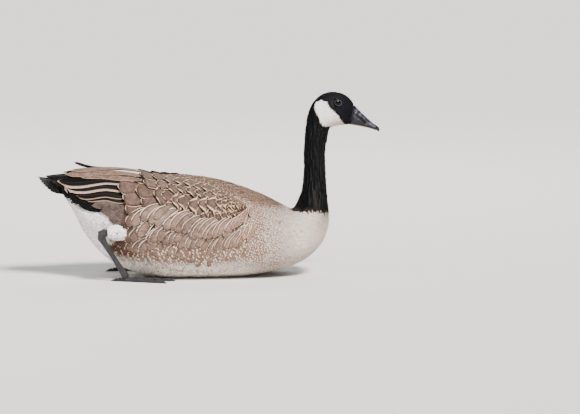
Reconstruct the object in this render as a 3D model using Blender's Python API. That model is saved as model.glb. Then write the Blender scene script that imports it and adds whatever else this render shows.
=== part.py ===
# Canada goose, life size, resting on its belly with its feet tucked under, neck upright.
# Metres, +Z up, +X towards the bill, so the bird's left side is +Y.
# The origin lies on the floor below the middle of the bird.

import math
import random

import bmesh
import bpy
import numpy as np
from mathutils import Matrix, Vector

# Sizes that drive the rest
GAP = 0.0003  # between pieces that touch
EYE_RADIUS = 0.0080
EYE_PLACE = (0.2243, 0.0146, 0.3032)
FEATHER = 0.0008  # thickness of a vane
SMOOTH_ANGLE = math.radians(38)

# The body, neck and head as one row of sections from rump to bill. Each section is a
# plane through a point on the back and a point below it, at right angles to the middle plane.
# Columns: back x, back z, underside x, underside z, half width, low share, underside fullness.
SECTIONS = (
    (-0.252, 0.1455, -0.2505, 0.1385, 0.020, 0.00, 2.0),
    (-0.243, 0.1460, -0.236, 0.113, 0.038, 0.00, 2.0),
    (-0.222, 0.1480, -0.217, 0.076, 0.055, 0.02, 2.0),
    (-0.185, 0.1630, -0.184, 0.038, 0.073, 0.03, 2.1),
    (-0.140, 0.1765, -0.142, 0.013, 0.087, 0.04, 2.2),
    (-0.090, 0.1775, -0.092, 0.000, 0.096, 0.04, 2.3),
    (-0.040, 0.177, -0.040, -0.002, 0.098, 0.04, 2.3),
    (0.010, 0.170, 0.010, -0.002, 0.097, 0.05, 2.3),
    (0.055, 0.157, 0.058, 0.000, 0.093, 0.06, 2.3),
    (0.095, 0.141, 0.105, 0.006, 0.086, 0.06, 2.25),
    (0.120, 0.128, 0.143, 0.016, 0.079, 0.06, 2.2),
    (0.135, 0.120, 0.173, 0.031, 0.072, 0.06, 2.15),
    (0.142, 0.1160, 0.195, 0.052, 0.065, 0.06, 2.1),
    (0.146, 0.1145, 0.207, 0.074, 0.056, 0.05, 2.05),
    (0.1485, 0.1155, 0.2115, 0.095, 0.046, 0.03, 2.0),
    (0.151, 0.1185, 0.2105, 0.114, 0.037, 0.00, 2.0),
    (0.155, 0.126, 0.2090, 0.128, 0.030, 0.00, 2.0),
    (0.160, 0.137, 0.2075, 0.141, 0.0255, 0.00, 2.0),
    (0.164, 0.150, 0.2065, 0.154, 0.0225, 0.00, 2.0),
    (0.1665, 0.168, 0.2055, 0.170, 0.0205, 0.00, 2.0),
    (0.1675, 0.190, 0.2045, 0.190, 0.0190, 0.00, 2.0),
    (0.1677, 0.215, 0.2042, 0.212, 0.0185, 0.00, 2.0),
    (0.1690, 0.240, 0.2055, 0.229, 0.0183, 0.00, 2.0),
    (0.1712, 0.262, 0.2085, 0.242, 0.0185, 0.02, 2.0),
    (0.1735, 0.278, 0.2105, 0.2515, 0.0190, 0.05, 2.1),
    (0.1775, 0.292, 0.2125, 0.257, 0.0200, 0.08, 2.2),
    (0.1850, 0.305, 0.2155, 0.2595, 0.0212, 0.10, 2.3),
    (0.1980, 0.3165, 0.2205, 0.2610, 0.0218, 0.12, 2.3),
    (0.2145, 0.3215, 0.2270, 0.2622, 0.0213, 0.12, 2.3),
    (0.2305, 0.3197, 0.2340, 0.2630, 0.0198, 0.10, 2.3),
    (0.2420, 0.3145, 0.2395, 0.2634, 0.0178, 0.08, 2.3),
    (0.2505, 0.3065, 0.2435, 0.2634, 0.0157, 0.06, 2.3),
    (0.2565, 0.2975, 0.2470, 0.2630, 0.0140, 0.04, 2.3),
)
NECK_FROM = 15  # the black neck starts at this section
HEAD_FROM = 24
NECK_PARTING = 0.03  # of a section, the thin cut between neighbours
HEAD_PARTING = 0.03
TORSO_RINGS, TORSO_AROUND = 26, 26

# The outside of a folded wing, from the shoulder to the tips of the flight feathers.
# Columns: x, height of the top, half width, height of the middle, upper edge, lower edge.
# The edges are angles from straight up, in radians.
WING = (
    (0.070, 0.1545, 0.0925, 0.076, 0.86, 0.93),
    (0.050, 0.1645, 0.0985, 0.079, 0.74, 1.16),
    (0.010, 0.1765, 0.1030, 0.085, 0.48, 1.36),
    (-0.040, 0.1825, 0.1045, 0.089, 0.26, 1.26),
    (-0.090, 0.1855, 0.1030, 0.090, 0.12, 1.16),
    (-0.130, 0.1905, 0.0970, 0.093, 0.06, 1.24),
    (-0.160, 0.1935, 0.0900, 0.097, 0.05, 1.38),
    (-0.190, 0.1935, 0.0790, 0.105, 0.06, 1.18),
    (-0.220, 0.1920, 0.0650, 0.116, 0.08, 1.08),
    (-0.250, 0.1885, 0.0480, 0.135, 0.10, 0.98),
    (-0.275, 0.1855, 0.0300, 0.155, 0.14, 0.86),
    (-0.290, 0.1835, 0.0200, 0.165, 0.18, 0.76),
)
WING_CORE_START, WING_CORE_END = 0.064, -0.166
WING_CORE_DEPTH = 0.0032  # the core's outside lies this far below the tips of the feathers
WING_CORE_THICKNESS = 0.016
CORE_EDGE = 0.05  # the core stops this angle short of the wing's edges
CORE_RINGS, CORE_ACROSS = 11, 6
CORE_BEVEL = 0.002  # its outside lies this much deeper round the rim
CORE_RIM = 0.004  # its thickness there
WING_LAYERS = 0.0072  # from the outermost feathers to the innermost
TIP_SQUEEZE = 0.62  # of those layers is left at the wing's tip
TAIL_CLEARANCE = 0.0009

# Rows of coverts and scapulars, from the tail end forwards. Columns: x of the tips at the
# upper edge, x at the lower edge, feathers in the row, length, width.
COVERTS = (
    (-0.166, -0.146, 6, 0.070, 0.0225),
    (-0.131, -0.120, 6, 0.066, 0.0225),
    (-0.100, -0.088, 6, 0.060, 0.0220),
    (-0.071, -0.060, 5, 0.054, 0.0245),
    (-0.044, -0.034, 5, 0.050, 0.0235),
    (-0.018, -0.010, 5, 0.046, 0.0200),
    (0.007, 0.013, 4, 0.040, 0.0195),
    (0.029, 0.033, 3, 0.030, 0.0190),
)
COVERT_SUNK = 0.0058
COVERT_BOW = 1.9  # how late along its length a feather rises out of the wing
VANE_ROLL = 0.100  # its lower edge lies higher than its upper edge, by this share of its width

# The long feathers behind them. Columns: x of the tip, share of the way from the upper edge
# to the lower one at the tip and at the root, depth of the tip, width.
FLIGHT = (
    (-0.243, 0.08, 0.06, 0.0004, 0.0190),
    (-0.263, 0.26, 0.16, 0.0007, 0.0175),
    (-0.254, 0.46, 0.29, 0.0010, 0.0170),
    (-0.236, 0.62, 0.43, 0.0013, 0.0170),
    (-0.215, 0.74, 0.57, 0.0016, 0.0170),
    (-0.195, 0.82, 0.70, 0.0019, 0.0165),
    (-0.177, 0.89, 0.82, 0.0022, 0.0160),
    (-0.162, 0.94, 0.92, 0.0025, 0.0150),
)
FLIGHT_ROLL = 0.105
PRIMARIES = (
    (-0.2845, 0.26, 0.16, 0.0032, 0.0115),
    (-0.2790, 0.48, 0.27, 0.0042, 0.0115),
    (-0.2700, 0.66, 0.38, 0.0052, 0.0120),
    (-0.2580, 0.82, 0.50, 0.0062, 0.0120),
)
PRIMARY_ROLL = 0.02
# One feather of the left wing stands up from the others.
RAISED = (-0.237, 0.26, 0.20, -0.0095, 0.0130)
FLIGHT_ROOT, PRIMARY_ROOT = -0.118, -0.140
FLIGHT_SUNK, PRIMARY_SUNK, RAISED_SUNK = 0.0056, 0.0045, 0.0060
FLIGHT_BOW, RAISED_BOW = 0.8, 1.6
FLIGHT_SHORTEST = 0.055
FLIGHT_MIDDLE = -0.20  # x at which the wing's width sets how the long feathers fan out
# Outlines of feathers: share of the length, share of the width.
ROUND_VANE = ((0.0, 0.55), (0.52, 1.0), (0.88, 0.86), (1.0, 0.34))
LONG_VANE = ((0.0, 0.50), (0.45, 0.90), (0.80, 1.0), (0.94, 0.74), (1.0, 0.28))
TIP_CORNER = 0.10  # of the width, by which a tip's corners stay behind its middle
POINTED_VANE = ((0.0, 0.60), (0.50, 1.0), (0.82, 0.78), (1.0, 0.16))

# Flank feathers of the left side, from the lower row up. Columns: x of the first tip, x of
# the last, height of the first, height of the last, feathers, length, width, turn upwards.
FLANK = (
    (-0.146, 0.030, 0.068, 0.056, 6, 0.064, 0.034, -0.10),
    (-0.138, 0.040, 0.096, 0.080, 6, 0.062, 0.031, 0.00),
)
FLANK_LIFT = 0.0021
FLANK_SUNK = 0.0052
FLANK_BOW = 1.2
FLANK_RADIUS = 0.09  # of the body's side, on which they lie

# The bill from its base to its tip. Columns: ridge x, ridge z, cutting edge x, cutting edge z,
# half width.
UPPER_BILL = (
    (0.2570, 0.2972, 0.2495, 0.2698, 0.0135),
    (0.2635, 0.2898, 0.2570, 0.2678, 0.0130),
    (0.2715, 0.2817, 0.2660, 0.2654, 0.0122),
    (0.2800, 0.2738, 0.2755, 0.2625, 0.0113),
    (0.2885, 0.2663, 0.2850, 0.2590, 0.0104),
    (0.2950, 0.2610, 0.2920, 0.2558, 0.0090),
    (0.2990, 0.2568, 0.2968, 0.2530, 0.0060),
    (0.3005, 0.2540, 0.2985, 0.2512, 0.0025),
)
# Columns: cutting edge x, cutting edge z, underside x, underside z, half width.
LOWER_BILL = (
    (0.2494, 0.2694, 0.2479, 0.2634, 0.0122),
    (0.2570, 0.2674, 0.2575, 0.2617, 0.0118),
    (0.2660, 0.2650, 0.2670, 0.2600, 0.0111),
    (0.2755, 0.2621, 0.2765, 0.2580, 0.0102),
    (0.2850, 0.2586, 0.2855, 0.2556, 0.0090),
    (0.2915, 0.2556, 0.2915, 0.2536, 0.0070),
    (0.2950, 0.2537, 0.2948, 0.2526, 0.0030),
)
NOSTRIL = (0.2672, 0.0105, 0.2740)  # middle of the left one
NOSTRIL_SIZE = (0.0108, 0.0028, 0.0020)
BILL_SLOPE = math.radians(42)
LID_REACH = (0.0066, 0.0046)  # half length and half height of the opening between the lids
LID_RADIUS = 0.0015
LID_RISE = 0.0002  # of the lids' middle over the eyeball

# The tail is a shallow fan over the rump. The share runs from 0 in the middle to 1 outside.
TAIL_ROOT = (-0.204, 0.162)
TAIL_TIP = (-0.3010, 0.1775)
TAIL_PAIRS = 7
TAIL_SPREAD_ROOT, TAIL_SPREAD_TIP = 0.027, 0.046
TAIL_DROP_ROOT, TAIL_DROP_TIP = 0.009, 0.011
TAIL_SHORTER_OUTSIDE = 0.022
TAIL_STEP = 0.0013  # each feather lies this much below the one nearer the middle
TAIL_STEP_TIP = 0.0012
TAIL_OVERLAP = 2.1  # widths of the spacing that one feather spans
TAIL_TUCK = 0.45  # of the spacing that goes under the neighbour nearer the middle
TAIL_CROSS = 0.10  # of half the fan, by which the middle pair overlap
TAIL_VANE = ((0.06, 0.75), (0.45, 0.90), (0.82, 1.0), (0.95, 0.72), (1.0, 0.20))
RUMP_MIDDLE = (-0.212, 0.0, 0.1530)
RUMP_RADII = (0.040, 0.041, 0.0165)

# The left leg. Each path is a row of x, y, z and radius.
THIGH = (
    (-0.143, 0.067, 0.086, 0.0170),
    (-0.158, 0.072, 0.087, 0.0165),
    (-0.173, 0.0765, 0.0875, 0.0140),
    (-0.1835, 0.0795, 0.0875, 0.0100),
    (-0.1855, 0.0800, 0.0875, 0.0060),
)
SHANK = (
    (-0.1862, 0.0802, 0.0872, 0.0050),
    (-0.1895, 0.0808, 0.0870, 0.0078),
    (-0.1950, 0.0808, 0.0845, 0.0084),
    (-0.1960, 0.0800, 0.0780, 0.0072),
    (-0.1900, 0.0785, 0.0680, 0.0052),
    (-0.1790, 0.0760, 0.0500, 0.0044),
    (-0.1676, 0.0730, 0.0320, 0.0045),
    (-0.1606, 0.0725, 0.0210, 0.0052),
)
HEEL = (
    (0.0055, 0.0062),
    (0.0105, 0.0066),
    (0.0145, 0.0062),
    (0.0165, 0.0040),
)
FOOT_ROOT = (-0.1525, 0.0720)
TOES = ((-22, 0.060), (2, 0.076), (26, 0.066))  # turn outwards in degrees, length to the nail
HIND_TOE = (200, 0.017)
TOE_RADIUS = 0.0042
TOE_TAPER, TOE_SWELL = 0.38, 0.16  # shares of its radius, lost by the nail and gained at a joint
TOE_JOINTS = 3
CLAW_LENGTH = 0.010
CLAW = ((0.40, 0.0021), (1.0, 0.0007))  # share of its length, radius
WEB_THICKNESS = 0.0012
WEB_HEIGHT = 0.0005  # of its underside over the floor
WEB_REACH = 0.93  # of each toe's length
WEB_HOLLOW = 0.34  # how far its front edges draw back towards the root

# Colour and roughness of each node.
FINISHES = {
    "torso": ((0.70, 0.60, 0.50), 0.80),
    "neck": ((0.012, 0.012, 0.014), 0.40),
    "head": ((0.014, 0.014, 0.017), 0.45),
    "eye": ((0.020, 0.010, 0.006), 0.05),
    "bill_upper": ((0.030, 0.030, 0.035), 0.30),
    "bill_lower": ((0.025, 0.025, 0.030), 0.35),
    "wing": ((0.24, 0.17, 0.12), 0.75),
    "tail": ((0.010, 0.010, 0.011), 0.55),
    "thigh": ((0.82, 0.80, 0.76), 0.80),
    "shank": ((0.060, 0.060, 0.065), 0.50),
    "foot": ((0.050, 0.050, 0.055), 0.50),
}


def clear_scene():
    for thing in list(bpy.data.objects):
        bpy.data.objects.remove(thing, do_unlink=True)


def mesh_object(name, points, faces):
    mesh = bpy.data.meshes.new(name)
    mesh.from_pydata([tuple(p) for p in points], [], [tuple(f) for f in faces])
    mesh.validate()
    mesh.shade_smooth()
    mesh.set_sharp_from_angle(angle=SMOOTH_ANGLE)
    made = bpy.data.objects.new(name, mesh)
    bpy.context.scene.collection.objects.link(made)
    return made


def paint():
    # Each node has a material of its own, and those of a pair look alike.
    for node in bpy.data.objects:
        colour, roughness = FINISHES[node.name.removesuffix("_left").removesuffix("_right")]
        made = bpy.data.materials.new(node.name)
        made.use_nodes = True
        shader = made.node_tree.nodes["Principled BSDF"]
        shader.inputs["Base Color"].default_value = (*colour, 1.0)
        shader.inputs["Roughness"].default_value = roughness
        shader.inputs["Metallic"].default_value = 0.0
        made.diffuse_color = (*colour, 1.0)
        node.data.materials.clear()
        node.data.materials.append(made)


def row_at(table, place):
    # The row at this place, on a smooth curve through the rows of the table.
    rows = np.asarray(table, float)
    last = len(rows) - 1
    place = min(max(place, 0.0), float(last))
    i = min(int(place), last - 1)
    f = place - i
    before, start, end, after = (rows[min(max(k, 0), last)] for k in range(i - 1, i + 3))
    return start + 0.5 * f * (
        end
        - before
        + f * (2 * before - 5 * start + 4 * end - after + f * (3 * (start - end) + after - before))
    )


def power(value, exponent):
    return math.copysign(abs(value) ** exponent, value)


def body_point(place, angle, grow=0.0):
    # A point of the body: angle 0 is the back, pi the underside, and +Y lies between.
    back_x, back_z, under_x, under_z, half_width, low, full = row_at(SECTIONS, place)
    middle = Vector(((back_x + under_x) / 2, 0, (back_z + under_z) / 2))
    axis = Vector(((back_x - under_x) / 2, 0, (back_z - under_z) / 2))
    up, side = math.cos(angle), math.sin(angle)
    share = min(max(0.5 - up, 0.0), 1.0)
    shape = 2.0 + (full - 2.0) * share
    height = power(up, 2 / shape) * (1 + grow / axis.length)
    width = power(side, 2 / shape) * (1 - low * up) * (half_width + grow)
    point = middle + axis * height
    point.y += width
    return point


def ring_faces(rings, around):
    # Side triangles and two end faces of rings laid one after another. A piece and the
    # cutter grown from it are split alike.
    faces = []
    for i in range(rings - 1):
        for j in range(around):
            k = (j + 1) % around
            a, b = i * around, (i + 1) * around
            faces += [(a + j, a + k, b + k), (a + j, b + k, b + j)]
    faces.append(tuple(reversed(range(around))))
    faces.append(tuple((rings - 1) * around + j for j in range(around)))
    return faces


def outward(points, faces):
    # Turns every face round if the closed surface has its inside out.
    volume = 0.0
    for face in faces:
        a = Vector(points[face[0]])
        for i in range(1, len(face) - 1):
            volume += a.dot(Vector(points[face[i]]).cross(Vector(points[face[i + 1]])))
    return faces if volume > 0 else [tuple(reversed(f)) for f in faces]


def body_length(name, start, end, rings, around, grow=0.0):
    # One length of the body, neck or head between two places in the row of sections.
    points = []
    for i in range(rings):
        place = start + (end - start) * i / (rings - 1)
        for j in range(around):
            point = body_point(place, 2 * math.pi * (j + 0.5) / around, grow)
            point.z = max(point.z, -grow)
            if i == 0:
                point.x -= 2 * grow
            points.append(point)
    return mesh_object(name, points, outward(points, ring_faces(rings, around)))


def wing_row(x):
    # Top, half width, middle, upper edge and lower edge of the wing at this x.
    places = [-row[0] for row in WING]
    return row_at(WING, float(np.interp(-x, places, range(len(WING)))))[1:]


def wing_point(x, angle, side, inward=0.0):
    # A point of the folded wing, inward of its outside by this much. side is 1 for left.
    top, half_width, middle = wing_row(x)[:3]
    width = half_width - inward
    height = top - middle - inward
    point = Vector((x, side * width * math.sin(angle), middle + height * math.cos(angle)))
    if x < TAIL_ROOT[0]:
        # The wing tips lie on the tail, in their layers.
        layer = WING_LAYERS * tip_squeeze(x) - inward
        point.z = max(point.z, tail_top(x, point.y) + TAIL_CLEARANCE + layer)
    return point


def tip_squeeze(x):
    # The layers of the wing draw together towards its tip.
    share = min(max((x - WING[-1][0]) / (TAIL_ROOT[0] - WING[-1][0]), 0.0), 1.0)
    return TIP_SQUEEZE + (1 - TIP_SQUEEZE) * share


def tail_top(x, y):
    # Height of the tail's upper side, and far below where there is no tail.
    lowest = -1.0
    along_it = min(max((x - TAIL_ROOT[0]) / (TAIL_TIP[0] - TAIL_ROOT[0]), 0.0), 1.0)
    spread = TAIL_SPREAD_ROOT + (TAIL_SPREAD_TIP - TAIL_SPREAD_ROOT) * along_it
    share = abs(y) / spread
    if share > 1.1:
        return lowest
    return tail_point(min(share, 1.0), along_it, FEATHER).z


def wing_core(name, side):
    # A flat, lens-shaped body under the coverts, which they all grow from.
    outer, inner = [], []
    for i in range(CORE_RINGS):
        share = i / (CORE_RINGS - 1)
        x = WING_CORE_START + (WING_CORE_END - WING_CORE_START) * share
        upper, lower = wing_row(x)[3:]
        reach = (lower - upper) / 2 - CORE_EDGE
        thin = math.sin(math.pi * min(max(share, 0.10), 0.90)) ** 0.4
        outer.append([])
        inner.append([])
        for j in range(CORE_ACROSS):
            across = 2 * j / (CORE_ACROSS - 1) - 1
            full = (1 - across**4) * thin
            angle = (upper + lower) / 2 + reach * across
            deep = WING_CORE_DEPTH + CORE_RIM + (WING_CORE_THICKNESS - CORE_RIM) * full
            outer[-1].append(wing_point(x, angle, side, WING_CORE_DEPTH + CORE_BEVEL * (1 - full)))
            inner[-1].append(wing_point(x, angle, side, deep))
    points = []
    for upper_row, lower_row in zip(outer, inner):
        points += [*upper_row, *reversed(lower_row)]
    return mesh_object(name, points, outward(points, ring_faces(CORE_RINGS, 2 * CORE_ACROSS)))


def vane_mesh(top, bottom):
    # A thin plate from rows of points above and below, split alike on both faces.
    points = []
    for upper, lower in zip(top, bottom):
        points += [*upper, *reversed(lower)]
    wide = len(top[0])
    ring = 2 * wide
    faces = []
    for i in range(len(top) - 1):
        a, b = ring * i, ring * (i + 1)
        for j in range(ring):
            k = (j + 1) % ring
            if wide <= j < ring - 1:
                faces += [(a + j, a + k, b + j), (a + k, b + k, b + j)]
            else:
                faces += [(a + j, a + k, b + k), (a + j, b + k, b + j)]
    end = ring * (len(top) - 1)
    for j in range(wide - 1):
        a, b, c, d = j, ring - 1 - j, ring - 2 - j, j + 1
        faces += [(a, b, c), (a, c, d), (end + c, end + b, end + a), (end + d, end + c, end + a)]
    return mesh_object("vane", points, outward(points, faces))


def vane(surface, radius, root, tip, width, shape, rise, roll, bow, across=(-1, 1)):
    # A feather laid on a surface from root to tip, both given as x and angle. rise is the
    # height of the root and the tip, and roll lifts the lower edge over the next feather.
    length = math.hypot(tip[0] - root[0], (tip[1] - root[1]) * radius)
    way = ((tip[0] - root[0]) / length, (tip[1] - root[1]) * radius / length)
    top, bottom = [], []
    for share, wide in shape:
        height = rise[0] + (rise[1] - rise[0]) * share**bow
        upper, lower = [], []
        for part in across:
            reach = part * wide * width / 2
            x = root[0] + (tip[0] - root[0]) * share + way[1] * reach
            angle = root[1] + (tip[1] - root[1]) * share - way[0] * reach / radius
            if share == 1.0:
                x += abs(part) * TIP_CORNER * width
            tilt = roll * reach
            upper.append(surface(x, angle, height + tilt))
            lower.append(surface(x, angle, height + tilt - FEATHER))
        top.append(upper)
        bottom.append(lower)
    return vane_mesh(top, bottom)


def wing_vanes(side, draw):
    # Coverts in rows, and the long feathers that reach out from under them.
    def surface(x, angle, height):
        return wing_point(x, angle, side, -height)

    def spread(x, share):
        upper, lower = wing_row(x)[3:]
        return upper + (lower - upper) * share

    made = []
    for high_x, low_x, count, length, width in COVERTS:
        for k in range(count):
            share = (k + 0.5) / count
            x = high_x + (low_x - high_x) * share + draw.uniform(-0.0015, 0.0015)
            root = (min(x + length, WING_CORE_START - 0.002), share)
            wide = width * draw.uniform(0.96, 1.04)
            rise = (-COVERT_SUNK, -draw.uniform(0.0003, 0.0006))
            made.append(vane(surface, wing_row(x)[1], (root[0], spread(*root)), (x, spread(x, share)),
                             wide, ROUND_VANE, rise, VANE_ROLL, COVERT_BOW))
    radius = wing_row(FLIGHT_MIDDLE)[1]
    for group, root_x, shape, sunk, roll in (
            (FLIGHT, FLIGHT_ROOT, LONG_VANE, FLIGHT_SUNK, FLIGHT_ROLL),
            (PRIMARIES, PRIMARY_ROOT, POINTED_VANE, PRIMARY_SUNK, PRIMARY_ROLL)):
        for x, share, root_share, depth, width in group:
            x += draw.uniform(-0.0010, 0.0010)
            root = (max(root_x, x + FLIGHT_SHORTEST), root_share)
            made.append(vane(surface, radius, (root[0], spread(*root)), (x, spread(x, share)), width,
                             shape, (-sunk - depth, -depth), roll, FLIGHT_BOW))
    if side > 0:
        x, share, root_share, depth, width = RAISED
        root = (PRIMARY_ROOT, root_share)
        made.append(vane(surface, radius, (root[0], spread(*root)), (x, spread(x, share)), width,
                         POINTED_VANE, (-RAISED_SUNK, -depth), 0.0, RAISED_BOW))
    return made


def build_wing(side, word):
    draw = random.Random(11 if side > 0 else 12)
    wing = wing_core("wing_" + word, side)
    join(wing, wing_vanes(side, draw), "UNION", "MANIFOLD")
    join(wing, [body_cutter()], "DIFFERENCE", "MANIFOLD")


def bill_length(name, table, flat_side, rings, around):
    # One half of the bill. flat_side is 1 where its lower side is flat, -1 where the upper is.
    points = []
    last = len(table) - 1
    for i in range(rings):
        top_x, top_z, low_x, low_z, half_width = row_at(table, last * i / (rings - 1))
        for j in range(around):
            angle = math.pi * j / (around - 1)
            rise = math.sin(angle) ** 0.85
            share = rise if flat_side > 0 else 1 - rise
            centre_x = low_x + (top_x - low_x) * share
            height = low_z + (top_z - low_z) * share
            points.append(Vector((centre_x, half_width * power(math.cos(angle), 0.8), height)))
    return mesh_object(name, points, outward(points, ring_faces(rings, around)))


def ellipsoid(name, centre, radii, turn, rings, around):
    points = []
    for i in range(rings):
        polar = math.pi * (i + 0.5) / rings
        for j in range(around):
            angle = 2 * math.pi * j / around
            offset = Vector((math.cos(angle) * math.sin(polar), math.sin(angle) * math.sin(polar),
                             math.cos(polar)))
            offset = Vector(a * b for a, b in zip(offset, radii))
            points.append(Vector(centre) + turn @ offset)
    return mesh_object(name, points, outward(points, ring_faces(rings, around)))


def eyeball(name, side, grow=0.0):
    centre = Vector((EYE_PLACE[0], side * EYE_PLACE[1], EYE_PLACE[2]))
    radius = EYE_RADIUS + grow
    # The poles face sideways, so that the rings run round the pupil.
    turn = Matrix.Rotation(-side * math.pi / 2, 3, "X")
    return ellipsoid(name, centre, (radius,) * 3, turn, 8, 12)


def lid_ring(name, side, around=14, section=5):
    centre = Vector((EYE_PLACE[0], side * EYE_PLACE[1], EYE_PLACE[2]))
    points = []
    for i in range(around):
        angle = 2 * math.pi * i / around
        out = Vector((math.cos(angle) * LID_REACH[0], 0, math.sin(angle) * LID_REACH[1]))
        depth = math.sqrt(EYE_RADIUS**2 - out.length_squared)
        spot = centre + out + Vector((0, side * depth, 0))
        outward_way = (spot - centre).normalized()
        spot += outward_way * LID_RISE
        radial = out.normalized()
        for j in range(section):
            turn = 2 * math.pi * j / section
            points.append(spot + LID_RADIUS * (outward_way * math.cos(turn) + radial * math.sin(turn)))
    faces = []
    for i in range(around):
        for j in range(section):
            a, b = i * section, (i + 1) % around * section
            k = (j + 1) % section
            faces.append((a + j, a + k, b + k, b + j))
    return mesh_object(name, points, outward(points, faces))


def limb(name, path, side, around):
    # A round limb through rows of x, y, z and radius, which stays above the floor.
    points = []
    rings = len(path)
    centres = [Vector((x, side * y, z)) for x, y, z, _ in path]
    for i in range(rings):
        ahead = (centres[min(i + 1, rings - 1)] - centres[max(i - 1, 0)]).normalized()
        across = Vector((0, 1, 0)).cross(ahead).normalized()
        upward = ahead.cross(across)
        for j in range(around):
            angle = 2 * math.pi * j / around
            out = across * math.cos(angle) + upward * math.sin(angle)
            point = centres[i] + out * path[i][3]
            point.z = max(point.z, 0.0)
            points.append(point)
    return mesh_object(name, points, outward(points, ring_faces(rings, around)))


def heel(name, side):
    # The foot's root carries on from the shank's end, a gap away and along the same line.
    before, end = (Vector(row[:3]) for row in SHANK[-2:])
    along = (end - before).normalized()
    path = [(*(end + along * GAP), SHANK[-1][3])]
    for distance, radius in HEEL:
        path.append((*(end + along * distance), radius))
    return limb(name, path, side, 12)


def toe_end(side, degrees, length, height):
    angle = math.radians(degrees)
    return Vector((FOOT_ROOT[0] + length * math.cos(angle),
                   side * (FOOT_ROOT[1] + length * math.sin(angle)), height))


def toe(name, side, degrees, length, radius):
    # Joints swell along a toe, and its claw runs on from the end.
    path = []
    steps = 2 * TOE_JOINTS
    for i in range(steps + 1):
        share = i / steps
        swell = 1 + TOE_SWELL * math.cos(share * TOE_JOINTS * 2 * math.pi)
        thick = radius * (1 - TOE_TAPER * share) * swell
        path.append((*toe_end(1, degrees, length * share, thick * 0.92), thick))
    tip = CLAW[-1][1]
    for share, thick in CLAW:
        height = CLAW[0][1] * (1 - share) + tip
        path.append((*toe_end(1, degrees, length + CLAW_LENGTH * share, height), thick))
    return limb(name, path, side, 6)


def web(name, side):
    # The skin between the three front toes, with hollow front edges.
    outline = [toe_end(side, 180, TOE_RADIUS, 0)]
    ends = [toe_end(side, degrees, length * WEB_REACH, 0) for degrees, length in TOES]
    root = toe_end(side, 0, 0, 0)
    for first, second in zip(ends, ends[1:]):
        for i in range(6):
            share = i / 5
            spot = first.lerp(second, share)
            outline.append(spot.lerp(root, WEB_HOLLOW * math.sin(math.pi * share)))
    levels = (WEB_HEIGHT, WEB_HEIGHT + WEB_THICKNESS)
    count = len(outline)
    points = [Vector((p.x, p.y, z)) for z in levels for p in outline]
    faces = [tuple(range(count)), tuple(reversed(range(count, 2 * count)))]
    for i in range(count):
        k = (i + 1) % count
        faces.append((i, count + i, count + k, k))
    return mesh_object(name, points, outward(points, faces))


def tail_point(share, along_it, height=0.0, feather=None):
    # A point of the fan: share -1 to 1 across it, along_it 0 at the root and 1 at the tip.
    # feather is the share of the one that it belongs to, which sets the length.
    out = abs(share)
    tip_x = TAIL_TIP[0] + TAIL_SHORTER_OUTSIDE * (out if feather is None else feather) ** 2.2
    x = TAIL_ROOT[0] + (tip_x - TAIL_ROOT[0]) * along_it
    spread = TAIL_SPREAD_ROOT + (TAIL_SPREAD_TIP - TAIL_SPREAD_ROOT) * along_it
    drop = TAIL_DROP_ROOT + (TAIL_DROP_TIP - TAIL_DROP_ROOT) * along_it
    z = TAIL_ROOT[1] + (TAIL_TIP[1] - TAIL_ROOT[1]) * along_it - drop * out**2
    return Vector((x, spread * share, z + height))


def tail_vane(side, k):
    # The feather k places out from the middle. The left one of the middle pair lies uppermost.
    over = 1.0 if k == 0 and side > 0 else 0.0
    inner = (k - TAIL_TUCK) / TAIL_PAIRS if k else -TAIL_CROSS * over
    outer = min((k + TAIL_OVERLAP - 1) / (TAIL_PAIRS - 0.2), 1.04)
    middle = (inner + outer) / 2
    top, bottom = [], []
    for along_it, wide in TAIL_VANE:
        step = TAIL_STEP + (TAIL_STEP_TIP - TAIL_STEP) * along_it
        height = step * (over - k)
        half = (outer - inner) / 2 * wide
        shares = [side * (middle + half * part) for part in (-1, 1)]
        top.append([tail_point(share, along_it, height, abs(middle)) for share in shares])
        bottom.append([tail_point(share, along_it, height - FEATHER, abs(middle)) for share in shares])
    return vane_mesh(top, bottom)


def build_tail():
    # A rump with fourteen feathers in it, each lying below its neighbour nearer the middle.
    tail = ellipsoid("tail", RUMP_MIDDLE, RUMP_RADII, Matrix.Identity(3), 8, 16)
    made = [tail_vane(side, k) for side in (1, -1) for k in range(TAIL_PAIRS)]
    join(tail, made, "UNION", "MANIFOLD")
    join(tail, [body_cutter()], "DIFFERENCE", "MANIFOLD")


def join(target, others, operation, solver="EXACT"):
    # Joins or cuts a node with other objects, which are then removed.
    group = bpy.data.collections.new(target.name + "_with")
    bpy.context.scene.collection.children.link(group)
    for other in others:
        for held in list(other.users_collection):
            held.objects.unlink(other)
        group.objects.link(other)
    change = target.modifiers.new("join", "BOOLEAN")
    change.operation = operation
    change.operand_type = "COLLECTION"
    change.collection = group
    change.solver = solver
    bpy.context.view_layer.update()
    graph = bpy.context.evaluated_depsgraph_get()
    mesh = bpy.data.meshes.new_from_object(target.evaluated_get(graph))
    target.modifiers.clear()
    target.data = mesh
    for other in others:
        bpy.data.objects.remove(other, do_unlink=True)
    bpy.data.collections.remove(group)
    keep_largest(target)
    return target


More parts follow.
